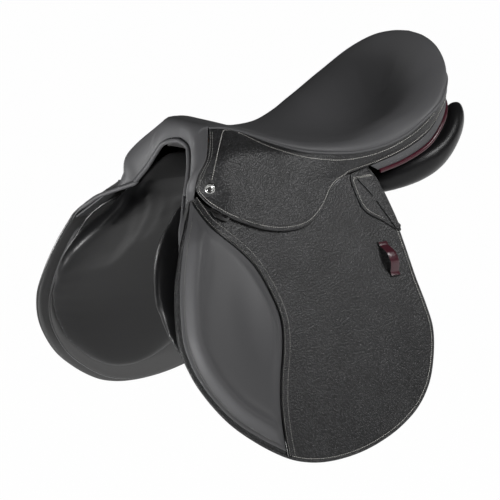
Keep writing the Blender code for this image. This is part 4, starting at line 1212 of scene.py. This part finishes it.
class SADDLE_OT_flaps(bpy.types.Operator):
    """Builds the flaps with their bands, patches, chapes and stitching"""

    bl_idname = "saddle.flaps"
    bl_label = "Flaps"

    def execute(self, context):
        shape = leather_leaf(flap_outline(), FLAP_CENTRE, 0.0, FLAP_LEATHER, flap_relief, rings=26,
                             edge_finish=1, back_finish=2, place=sunk_flank,
                             tight=lambda p: 0.1 + 0.9 * ease(p.y, 60, 120))
        make_pair("flap_leather", shape, ["grained_hide", "painted_edge", "lining_leather"],
                  blend=FLAP_FOLD, replaces=["flap_top", "flap"])
        surface = shape.surface()
        pitch, thread = sizes().stitch_pitch, sizes().thread
        band_line = curve(BAND_EDGE, step=2.5)
        band = Shape(*ribbon(band_line, BAND_PROFILE))
        make_pair("knee_band", band, ["grained_hide"], blend=FLAP_FOLD)
        stitches = Shape()
        band_surface = band.surface()
        stitch_row(stitches, band_surface, on_flank(beside(band_line, 10.4), 1), pitch, 1.95, thread)
        outline = turned_left(flap_outline())
        lower = opened([p for p in inset_of(outline, ROW_INSET) if p.y > 100 and p.x < 140])
        stitch_row(stitches, surface, on_flank(lower), pitch, 1.95, thread)
        stitch_row(stitches, band_surface, on_flank(beside(band_line, 3.4), 1), pitch, 1.7, thread * 0.9)
        make_pair("flap_stitching", stitches, ["waxed_thread"], blend=FLAP_FOLD)
        bead = Shape(*tube([sunk_flank(*p, 1.3) for p in beside(band_line, 0.9)], BAND_BEAD_RADIUS, 10))
        make_pair("band_bead", bead, ["painted_edge"], blend=FLAP_FOLD)
        dark = Shape()
        front = opened([p for p in inset_of(outline, 3.4)
                        if p.x > 140 and p.y > 52 and (p.x > 200 or p.y > 120)])
        stitch_row(dark, surface, on_flank(front), pitch, 1.95, thread * 0.8)
        make_pair("flap_dark_stitching", dark, ["black_thread"], blend=FLAP_FOLD)
        self.make_patch()
        self.make_chape()
        return {"FINISHED"}

    def make_patch(self):
        """The small reinforcement behind the skirt."""
        outline = curve(PATCH_OUTLINE, step=2.0, closed=True)
        shape = leather_leaf(outline, (-66, 82), 1.9, PATCH_LEATHER, trimmed_edge(3.4),
                             insets=(0, 0.5, 1.2, 2, 2.8, 3.4, 4, 5, 7), rings=8)
        make_pair("flap_patch_leather", shape, ["grained_hide"], blend=FLAP_FOLD,
                  replaces=["flap_patch"])
        stitches = Shape()
        rim = inset_of(turned_left(outline), 3.4)
        front = [p for p in rim if p.x >= -72 and p.y > 52 and (p.x > 54 - 1.2 * p.y or p.y < 95)]
        front.sort(key=lambda p: p.y)
        stitch_row(stitches, shape.surface(), on_flank(front, 2), thick=sizes().thread)
        make_pair("patch_stitching", stitches, ["waxed_thread"], blend=FLAP_FOLD)

    def make_chape(self):
        """The tab under the skirt's front."""
        chape = leather_leaf(curve(CHAPE_OUTLINE, step=1.0, closed=True), (161, 72), 2.3, CHAPE_LEATHER,
                             insets=(0, 0.5, 1.2, 2.0, 3.0), rings=5)
        make_pair("chape_leather", chape, ["bridle_leather"], body="root",
                  replaces=["dee_chape"])


def trimmed_edge(row):
    """Relief of a thin leather: its rounded edge, and the dip of the stitch row at a distance from it."""
    return lambda d, p: -0.5 * max(0.0, 1 - d / 1.2) ** 2 - 0.25 * bump(d - row, 0.7)


def beside(line, distance):
    """The line that runs down moved back by a distance."""
    total = len(line)
    result = []
    for n, p in enumerate(line):
        along = line[min(n + 1, total - 1)] - line[max(n - 1, 0)]
        result.append(p + Vector((-along.y, along.x)).normalized() * distance)
    return result


# Knee pads

# Middle and reach of the lower dome, and the pad's rows and the steps across them
PAD_DOME_CENTRE = Vector((137, 205))
PAD_DOME_REACH = (36.0, 64.0)
PAD_ROWS = 120
PAD_SPANS = 48


def pad_rise(place, front, rear):
    """Lift of the knee pad at a flank place: its seam, front roll, valley and dome."""
    to_front = distance_to(front, place)
    to_band = distance_to(rear, place)
    edge = min(to_front, to_band)
    top = ease(place.y, 60, 125)
    foot = 1 - ease(place.y, 315, 366)
    skin = 0.2 + 1.2 * (1 - math.exp(-edge / 1.2)) - 0.6 * bump(to_front - 4.4, 0.8)
    roll = sizes().pad_roll * bump(to_front - 17, 10) * ease(to_front, 2, 11)
    roll *= (0.25 + 0.75 * top) * (0.35 + 0.65 * foot)
    second = 1.4 * bump(to_front - 34, 6) * bump(place.y - 138, 26)
    away = place - PAD_DOME_CENTRE
    spread_out = (away.x / PAD_DOME_REACH[0]) ** 2 + (away.y / PAD_DOME_REACH[1]) ** 2
    dome = sizes().pad_dome * math.exp(-spread_out ** 1.3) * ease(to_band, 1, 20)
    body = 2.6 * ease(edge, 0, 14) * (0.4 + 0.6 * top) * (0.4 + 0.6 * foot)
    return skin + body + (roll + second + dome) * ease(to_band, 0, 16)


class SADDLE_OT_knee_pads(bpy.types.Operator):
    """Builds the smooth padded knee areas with their stitched front edge"""

    bl_idname = "saddle.knee_pads"
    bl_label = "Knee pads"

    def execute(self, context):
        front = curve(PAD_FRONT, PAD_ROWS)
        rear = curve(PAD_REAR, PAD_ROWS)
        rows = []
        for f, r in zip(front, rear):
            row = []
            for k in range(PAD_SPANS + 1):
                share = 0.5 - 0.5 * math.cos(math.pi * k / PAD_SPANS)
                share = 0.5 * share + 0.5 * k / PAD_SPANS
                p = r.lerp(f, share)
                row.append(flank(*p, pad_rise(p, front, rear)))
            rows.append(row)
        shape = thicken(*joined(*grid(rows)), PAD_LEATHER, 0.2)
        make_pair("knee_pad_leather", shape, ["smooth_calf"], blend=FLAP_FOLD,
                  replaces=["knee_pad"], angle=80)
        seam = Shape()
        line = on_flank(beside(front, 4.4)[8:-6], 2)
        stitch_row(seam, shape.surface(), line, 2.5, 1.5, sizes().thread * 0.7)
        make_pair("pad_stitching", seam, ["grey_thread"], blend=FLAP_FOLD)
        return {"FINISHED"}


# Under the flaps

class SADDLE_OT_under_flaps(bpy.types.Operator):
    """Builds the sweat flaps and the blocks on them"""

    bl_idname = "saddle.under_flaps"
    bl_label = "Under the flaps"

    def execute(self, context):
        outline = curve(SWEAT_OUTLINE, step=3.4, closed=True)
        shape = leather_leaf(outline, (70, 215), SWEAT_OUTER, SWEAT_LEATHER,
                             lambda d, p: edge_relief(d) * 0.6, rings=20, edge_finish=1)
        make_pair("sweat_leather", shape, ["lining_leather", "painted_edge"], body="root",
                  replaces=["sweat_flap"])
        for name, outline, centre in (("knee_block", KNEE_BLOCK_OUTLINE, (224, 190)),
                                      ("thigh_block", THIGH_BLOCK_OUTLINE, (-58, 246))):
            edge = curve(outline, step=2.2, closed=True)
            shape = leather_leaf(edge, centre, BLOCK_LOW + BLOCK_LEATHER, BLOCK_LEATHER, block_rise,
                                 insets=(0, 0.3, 0.8, 1.6, 2.6, 3.8, 5.2, 7), rings=6, tight=lambda p: 0.9)
            make_pair(name + "_leather", shape, ["smooth_calf"], body="root",
                      replaces=[name], angle=80)
        self.billets()
        self.guards()
        return {"FINISHED"}

    def billets(self):
        """The three punched girth straps of each side, sewn at their tops."""
        for name, place in BILLET_PLACES.items():
            length, half = BILLET_LENGTH, BILLET_WIDTH / 2
            outline = [(place + half * math.cos(a), half - half * math.sin(a)) for a in turns(36)[:19]]
            outline += [(place - half, length - half), (place - BILLET_TIP, length),
                        (place + BILLET_TIP, length), (place + half, length - half)]
            holes = []
            for n in range(HOLE_COUNT):
                down = length - LOWEST_HOLE - HOLE_PITCH * n
                holes.append([(place + HOLE_RADIUS * math.cos(a), down + HOLE_RADIUS * math.sin(a))
                              for a in turns(16)])
            points, faces = punched(evenly(outline, step=3.0, closed=True), holes)
            strap = thicken([strap_plane(a, q, STRAP_LEATHER / 2) for a, q in points], faces,
                            STRAP_LEATHER, 0.4, edge_finish=1)
            body = "billet_" + name
            make_pair(body + "_leather", strap, ["bridle_leather", "painted_edge"],
                      body=body, replaces=[body])
            stitches = Shape()
            rim = [Vector((place - half + 3, 118)), Vector((place - half + 3, 12)), Vector((place - 5, 4)),
                   Vector((place + 5, 4)), Vector((place + half - 3, 12)), Vector((place + half - 3, 118))]
            line = [strap_plane(*p, 3) for p in evenly(rim, step=2.0)]
            stitch_row(stitches, strap.surface(), line, pitch=3.2, length=2.3, sink=0.6)
            make_pair(body + "_stitching", stitches, ["waxed_thread"], body=body)

    def guards(self):
        """The leather that keeps the girth buckles off the flap."""
        outline = curve(GUARD_OUTLINE, step=3.0, closed=True)
        shape = leather_leaf(outline, (28, 68), GUARD_OUTER, GUARD_LEATHER, trimmed_edge(3.6),
                             insets=(0, 0.5, 1.2, 2, 2.8, 3.6, 4.4, 6, 9), rings=10, edge_finish=1,
                             place=strap_plane)
        make_pair("billet_guard_leather", shape, ["bridle_leather", "painted_edge"],
                  body="root", replaces=["billet_guard"])
        stitches = Shape()
        rim = [strap_plane(*p, 5) for p in inset_of(turned_left(outline), 3.6)]
        stitch_row(stitches, shape.surface(), rim, length=1.9, thick=sizes().thread)
        make_pair("billet_guard_stitching", stitches, ["waxed_thread"], body="root")


def block_rise(distance, place):
    """Height of a foam block over its foot: steep rounded walls and a nearly flat top."""
    share = min(distance / BLOCK_WALL, 1.0)
    return BLOCK_RISE * math.sqrt(1 - (1 - share) ** 2)


def strap_plane(place, along, lift=0.0):
    """A point in the plane that the billets lie in, at a distance along it below their tops."""
    middle = (SWEAT_OUTER + FLAP_INNER) / 2
    top = flank(place, BILLET_TOP_DEPTH, middle)
    down = (flank(place, BILLET_TOP_DEPTH + BILLET_LENGTH, middle) - top).normalized()
    return top + down * along + Vector((1, 0, 0)).cross(down) * lift


def punched(outline, holes):
    """Flat places and faces of an outline with holes."""
    work = bmesh.new()
    edges = []
    for loop in (outline, *holes):
        verts = [work.verts.new((*p, 0)) for p in loop]
        edges += [work.edges.new((a, b)) for a, b in zip(verts, verts[1:] + verts[:1])]
    bmesh.ops.triangle_fill(work, edges=edges, use_beauty=True)
    work.verts.index_update()
    places = [tuple(v.co[:2]) for v in work.verts]
    faces = []
    for face in work.faces:
        ring = [v.index for v in face.verts]
        faces.append(tuple(reversed(ring)) if face.normal.z > 0 else tuple(ring))
    work.free()
    return places, faces


# Panels

# Front line of the roll that joins the panel to its flap, as forward place, depth and lift
ROLL_FRONT = [(176, 40, -34), (196, 50, -34), (210, 62, -34), (231, 89, -34), (246, 118, -33),
              (256, 152, -32)]
# The flocking between the panel and its flap is laid in slices: where they start, how wide each is, how
# high it reaches into the panel and how low into the flap, and the channel's half width that stays free
SLICE_STARTS = range(40, 190, 12)
SLICE_WIDTH = 44
SLICE_TOP = 26
SLICE_FOOT = -95
CHANNEL = 40
# Where the roll begins in the panel's flap, and its foot
ROLL_REAR = 160
ROLL_FOOT = -110
# Height over which the panel's side in the channel is painted near-black as shade under the arch, and how far
# back and out that goes
SHADE_HEIGHT = 30.0
SHADE_REAR = 60
SHADE_REACH = 60
# The cushion's voxels in mm, and the rounds of smoothing that relax it
CUSHION_VOXEL = 2.6
RELAX_ROUNDS = 20


class SADDLE_OT_panels(bpy.types.Operator):
    """Builds the flocked panels and the gullet lining"""

    bl_idname = "saddle.panels"
    bl_label = "Panels"

    def execute(self, context):
        for side, sign in SIDES:
            piece = self.cushion(side, sign)
            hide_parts(side + "_panel", side + "_panel_flap")
            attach(piece, "root")
        roof = []
        half = GULLET_HALF_WIDTH
        for x, height, drop in smooth(GULLET_ROOF, 61):
            roof.append([Vector((x, y, height - drop * (y / half) ** 2)) for y in range(-half, half + 1, 2)])
        shape = thicken(*grid(roof), FACING_LEATHER, 0.3)
        piece = make_piece("gullet_leather", shape, ["lining_leather"], ["gullet_lining"])
        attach(piece, "root")
        return {"FINISHED"}

    def bridge(self, work, side, sign):
        """Flocking between the panel's underside and its flap, and in the roll at the flap's front."""
        upper = [v.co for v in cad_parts[side + "_panel"].data.vertices]
        lower = [v.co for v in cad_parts[side + "_panel_flap"].data.vertices]
        parts = []
        for start in SLICE_STARTS:
            low, high = start * MM, (start + SLICE_WIDTH) * MM
            near = [p for p in upper
                    if low <= p.x < high and p.z < SLICE_TOP * MM and abs(p.y) > CHANNEL * MM]
            near += [p for p in lower if low <= p.x < high and p.z > SLICE_FOOT * MM]
            parts.append(near)
        roll = [flank(*stop) * MM for stop in ROLL_FRONT]
        parts.append([Vector((p.x, p.y * sign, p.z)) for p in roll]
                     + [p for p in lower if p.x > ROLL_REAR * MM and p.z > ROLL_FOOT * MM])
        for part in parts:
            if len(part) > 7:
                made = bmesh.ops.convex_hull(work, input=[work.verts.new(p) for p in part])
                spare = {v for v in made["geom_interior"] + made["geom_unused"]
                         if isinstance(v, bmesh.types.BMVert)}
                bmesh.ops.delete(work, geom=list(spare), context="VERTS")

    def cushion(self, side, sign):
        """The panel and its flap as one flocked body, smoothed into one skin, with painted shade high on its
        side in the channel.
        """
        work = bmesh.new()
        for node in (side + "_panel", side + "_panel_flap"):
            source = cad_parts[node]
            work.from_mesh(source.data)
        bmesh.ops.remove_doubles(work, verts=work.verts, dist=0.01 * MM)
        self.bridge(work, side, sign)
        mesh = bpy.data.meshes.new(side + "_panel_cushion")
        work.to_mesh(mesh)
        work.free()
        piece = bpy.data.objects.new(side + "_panel_cushion", mesh)
        bpy.context.scene.collection.objects.link(piece)
        smoothed = piece.modifiers.new("rounded", "SUBSURF")
        smoothed.levels = 1
        smoothed.render_levels = 1
        remesh = piece.modifiers.new("one_skin", "REMESH")
        remesh.mode = "VOXEL"
        remesh.voxel_size = CUSHION_VOXEL * MM
        relax = piece.modifiers.new("relaxed", "SMOOTH")
        relax.iterations = RELAX_ROUNDS
        relax.factor = 0.5
        apply_modifiers(piece)
        piece.data.materials.clear()
        piece.data.materials.append(bpy.data.materials["panel_calf"])
        piece.data.materials.append(bpy.data.materials["black_twill"])
        skin = bmesh.new()
        skin.from_mesh(piece.data)
        bmesh.ops.bisect_plane(skin, geom=skin.verts[:] + skin.edges[:] + skin.faces[:],
                               plane_co=(0, 0, SHADE_HEIGHT * MM), plane_no=(0, 0, 1))
        # Faces high on the side in the channel take the near-black painted shade
        for face in skin.faces:
            place = face.calc_center_median() / MM
            face.material_index = int(place.z > SHADE_HEIGHT and place.x > SHADE_REAR
                                      and abs(place.y) < SHADE_REACH)
        skin.to_mesh(piece.data)
        skin.free()
        piece.data.shade_smooth()
        return piece


def apply_modifiers(piece):
    """Makes the piece's mesh what its modifiers show."""
    graph = bpy.context.evaluated_depsgraph_get()
    mesh = bpy.data.meshes.new_from_object(piece.evaluated_get(graph))
    piece.modifiers.clear()
    old = piece.data
    piece.data = mesh
    bpy.data.meshes.remove(old)


# Pommel and rear trim

# How far the arch piping stands off the facing's edge, and how far it is thin at its ends
ARCH_STAND = 4.0
ARCH_TIP_SHARE = 0.08
# Distances down the rear facing: from the band to its start, and from its foot to the piping's middle
FACING_START = 0.6
PIPING_DROP = 3.4
# Section along the keeper's loop: share of its length and of its rise
KEEPER_STOPS = [(-0.5, 0.0), (-0.4, 0.0), (-0.3, 0.38), (-0.15, 0.88), (0.0, 1.0), (0.15, 0.88),
                (0.3, 0.38), (0.4, 0.0), (0.5, 0.0)]
# Lift of the keeper's outer face at its sewn ends
KEEPER_OUTER = 2.7


class SADDLE_OT_trim(bpy.types.Operator):
    """Builds the arch piping, the facing under the cantle, its burgundy piping and the keepers"""

    bl_idname = "saddle.trim"
    bl_label = "Trim"

    def execute(self, context):
        half = [flank(*stop) for stop in ARCH_TAIL]
        for n in range(61):
            p = arch_point(n / 60)
            side = ease(p.y, 22, 38)
            half.append(p + Vector((1.2, -ARCH_STAND * side, -ARCH_STAND * (1 - side) - 1.5 * side)))
        path = both_sides(curve(half, step=2.5))
        swell = ARCH_PIPING_RADIUS - ARCH_PIPING_TIP
        shape = Shape(*tube(path, lambda share: ARCH_PIPING_TIP
                            + swell * ease(min(share, 1 - share), 0.0, ARCH_TIP_SHARE), 14))
        piece = make_piece("arch_piping", shape, ["smooth_calf"], ["head_piping"])
        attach(piece, "root")
        self.rear()
        self.keepers()
        return {"FINISHED"}

    def rear(self):
        """The black facing and the burgundy piping below it, round the cantle."""
        count = 90
        top = evenly([stops[3] for stops, _ in wall_line()[SEAT_ROWS // 2:]], count)
        low = curve(REAR_FACING_FOOT, count)
        near = []
        piping = []
        for a, b in zip(top, low):
            away = (b - a).normalized()
            start = a + away * FACING_START
            out = Vector((-1, 0, 0))
            if b.y > 1:
                out = Vector((b.x * 0.25 if b.x < -150 else 0, b.y, 0)).normalized()
            near.append([start.lerp(b, k / 8) + out * math.sin(math.pi * k / 8) for k in range(9)])
            piping.append(b + away * PIPING_DROP)
        off = [[mirrored(p) for p in row] for row in reversed(near[:-1])]
        shape = thicken(*grid(near + off), FACING_LEATHER, 0.3)
        piece = make_piece("cantle_facing", shape, ["smooth_calf"], ["rear_facing"])
        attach(piece, "root")
        shape = Shape(*tube(both_sides(piping), CANTLE_PIPING_RADIUS, 14))
        piece = make_piece("cantle_piping", shape, ["burgundy_calf"], ["rear_piping"])
        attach(piece, "root")

    def keepers(self):
        """The raised loop on each flap."""
        place, middle = KEEPER_PLACE
        rows = []
        for along, height in smooth(KEEPER_STOPS, 49):
            row = []
            for k in range(9):
                across = k / 4 - 1
                lift = KEEPER_OUTER + height * KEEPER_RISE - 0.5 * abs(across) ** 4
                row.append(flank(place + across * KEEPER_HALF_WIDTH - along * KEEPER_LEAN,
                                 middle + along * KEEPER_LENGTH, lift))
            rows.append(row)
        shape = thicken(*grid(rows), KEEPER_LEATHER, 0.4, edge_finish=1)
        make_pair("keeper_loop", shape, ["burgundy_calf", "painted_edge"], body="flap",
                  replaces=["keeper"])


# Stage

# The photograph's view, with the distance and target in metres and the lens in millimetres
CAMERA_TURN = math.radians(34.06)
CAMERA_RISE = math.radians(12.88)
CAMERA_ROLL = math.radians(-1.18)
CAMERA_DISTANCE = 3.093
CAMERA_TARGET = Vector((0.041, 0.0, -0.068))
CAMERA_LENS = 175.7

# Strength of the dim room, and how much of the floor's white the camera and reflections see
ROOM_LIGHT = 0.03
FLOOR_GLOW = 0.99
# The floor's half width and height in metres
FLOOR_REACH = 6.0
FLOOR_HEIGHT = -0.52

# Soft boxes: name, place and size in metres, and power in watts. The key stands high to the camera's
# right. To its left the low front box lights the pommel and the knee roll, and the tall strip above it
# draws the highlights along the rolls. The high, rear and far boxes are faint fills from above the
# front, from behind the cantle and from the off side.
SOFT_BOXES = [("key_box", (-0.46, 0.95, 0.78), 0.42, 0.4, 8.5),
              ("front_box", (2.0, 0.3, -0.3), 0.3, 0.4, 26),
              ("strip_box", (1.9, 0.45, 0.45), 0.12, 1.5, 5),
              ("high_box", (1.6, 0.2, 1.3), 0.4, 0.4, 0.6),
              ("rear_box", (-2.0, 0.4, 0.35), 0.4, 1.2, 1.2),
              ("far_box", (0.4, -1.6, 0.15), 0.3, 0.3, 2)]


class SADDLE_OT_stage(bpy.types.Operator):
    """Sets the floor, the lights and the camera"""

    bl_idname = "saddle.stage"
    bl_label = "Stage"

    def execute(self, context):
        scene = context.scene
        scene.view_settings.view_transform = "Standard"
        self.world(scene)
        self.floor()
        self.lights()
        self.camera(scene)
        return {"FINISHED"}

    def world(self, scene):
        """A white backdrop to the camera and up to the horizon in reflections, and a dim room as light."""
        world = bpy.data.worlds.new("studio")
        scene.world = world
        world.use_nodes = True
        nodes = world.node_tree.nodes
        room = nodes["Background"]
        room.inputs["Color"].default_value = (1, 1, 1, 1)
        room.inputs["Strength"].default_value = ROOM_LIGHT
        backdrop = add_node(world, "ShaderNodeBackground", [("Color", (1, 1, 1, 1))])
        path = add_node(world, "ShaderNodeLightPath")
        where = add_node(world, "ShaderNodeTexCoord")
        heading = add_node(world, "ShaderNodeSeparateXYZ", links=[(0, where.outputs["Generated"])])
        horizon = add_node(world, "ShaderNodeMapRange",
                           [("From Min", -0.1), ("From Max", 0.05), ("To Min", 1.0), ("To Max", 0.0)],
                           [("Value", heading.outputs["Z"])])
        reflected = add_node(world, "ShaderNodeMath", [("operation", "MAXIMUM")],
                             [(0, path.outputs["Is Glossy Ray"]), (1, path.outputs["Is Transmission Ray"])])
        seen = add_node(world, "ShaderNodeMath", [("operation", "MULTIPLY_ADD"), ("use_clamp", True)],
                        [(0, reflected.outputs[0]), (1, horizon.outputs["Result"]),
                         (2, path.outputs["Is Camera Ray"])])
        mix = add_node(world, "ShaderNodeMixShader",
                       links=[(0, seen.outputs[0]), (1, room.outputs[0]), (2, backdrop.outputs[0])])
        world.node_tree.links.new(mix.outputs[0], nodes["World Output"].inputs["Surface"])

    def floor(self):
        """A plain white floor under the hanging saddle."""
        mesh = bpy.data.meshes.new("floor")
        corners = [(x * FLOOR_REACH, y * FLOOR_REACH, FLOOR_HEIGHT)
                   for x, y in ((-1, -1), (1, -1), (1, 1), (-1, 1))]
        mesh.from_pydata(corners, [], [(0, 1, 2, 3)])
        floor = bpy.data.objects.new("floor", mesh)
        bpy.context.scene.collection.objects.link(floor)
        # White card: matt, with a faint mottle that only shows close by
        material, shader, where = new_material("studio_floor", linear("F4F4F4"), 0.9)
        mottle = add_node(material, "ShaderNodeTexNoise", [("Scale", 9.0), ("Detail", 2.0)],
                          [("Vector", where)])
        stops = [(0.3, linear("F2F2F2")), (0.7, linear("F6F6F6"))]
        tint = add_node(material, "ShaderNodeValToRGB", [("stops", stops)], [("Fac", mottle.outputs["Fac"])])
        links = material.node_tree.links
        links.new(tint.outputs["Color"], shader.inputs["Base Color"])
        glow = add_node(material, "ShaderNodeEmission")
        path = add_node(material, "ShaderNodeLightPath")
        seen = add_node(material, "ShaderNodeMath", [("operation", "MAXIMUM")],
                        [(0, path.outputs["Is Camera Ray"]), (1, path.outputs["Is Glossy Ray"])])
        share = add_node(material, "ShaderNodeMath", [("operation", "MULTIPLY"), (1, FLOOR_GLOW)],
                         [(0, seen.outputs[0])])
        mix = add_node(material, "ShaderNodeMixShader",
                       links=[(0, share.outputs[0]), (1, shader.outputs[0]), (2, glow.outputs[0])])
        links.new(mix.outputs[0], material.node_tree.nodes["Material Output"].inputs["Surface"])
        mesh.materials.append(material)

    def lights(self):
        """Soft boxes round the saddle."""
        for name, place, wide, high, power in SOFT_BOXES:
            light = bpy.data.lights.new(name, "AREA")
            light.shape = "RECTANGLE"
            light.size = wide
            light.size_y = high
            light.energy = power
            thing = bpy.data.objects.new(name, light)
            bpy.context.scene.collection.objects.link(thing)
            thing.location = place
            thing.rotation_euler = (-Vector(place)).to_track_quat("-Z", "Y").to_euler()

    def camera(self, scene):
        """The photograph's view."""
        level_share = math.cos(CAMERA_RISE)
        away = Vector((math.sin(CAMERA_TURN) * level_share, math.cos(CAMERA_TURN) * level_share,
                       math.sin(CAMERA_RISE)))
        level = Vector((-math.cos(CAMERA_TURN), math.sin(CAMERA_TURN), 0))
        up = away.cross(level)
        right = level * math.cos(CAMERA_ROLL) + up * math.sin(CAMERA_ROLL)
        up = up * math.cos(CAMERA_ROLL) - level * math.sin(CAMERA_ROLL)
        data = bpy.data.cameras.new("camera")
        data.sensor_width = 36.0
        data.lens = CAMERA_LENS
        camera = bpy.data.objects.new("camera", data)
        place = CAMERA_TARGET + away * CAMERA_DISTANCE
        turn = Matrix((right, up, away)).transposed()
        camera.matrix_world = Matrix.Translation(place) @ turn.to_4x4()
        scene.collection.objects.link(camera)
        scene.camera = camera


class SADDLE_PT_panel(bpy.types.Panel):
    """Lists the saddle's steps"""

    bl_label = "Saddle"
    bl_idname = "SADDLE_PT_panel"
    bl_space_type = "VIEW_3D"
    bl_region_type = "UI"
    bl_category = "Saddle"

    def draw(self, context):
        column = self.layout.column()
        for group in (context.scene.saddle_sizes, context.scene.saddle_colours):
            for name in group.bl_rna.properties.keys():
                if name not in ("rna_type", "name"):
                    column.prop(group, name)
        for step in STEPS:
            column.operator(step.bl_idname)


STEPS = (SADDLE_OT_finishes, SADDLE_OT_seat, SADDLE_OT_skirts, SADDLE_OT_flaps, SADDLE_OT_knee_pads,
         SADDLE_OT_under_flaps, SADDLE_OT_panels, SADDLE_OT_trim, SADDLE_OT_stage)
CLASSES = (SaddleSizes, SaddleColours, *STEPS, SADDLE_PT_panel)


def register():
    for item in CLASSES:
        bpy.utils.register_class(item)
    bpy.types.Scene.saddle_sizes = PointerProperty(type=SaddleSizes)
    bpy.types.Scene.saddle_colours = PointerProperty(type=SaddleColours)


def unregister():
    del bpy.types.Scene.saddle_colours
    del bpy.types.Scene.saddle_sizes
    for item in reversed(CLASSES):
        bpy.utils.unregister_class(item)


def main():
    register()
    bpy.ops.saddle.finishes()
    bpy.ops.saddle.seat()
    bpy.ops.saddle.skirts()
    bpy.ops.saddle.flaps()
    bpy.ops.saddle.knee_pads()
    bpy.ops.saddle.under_flaps()
    bpy.ops.saddle.panels()
    bpy.ops.saddle.trim()
    bpy.ops.saddle.stage()


if __name__ == "__main__":
    main()
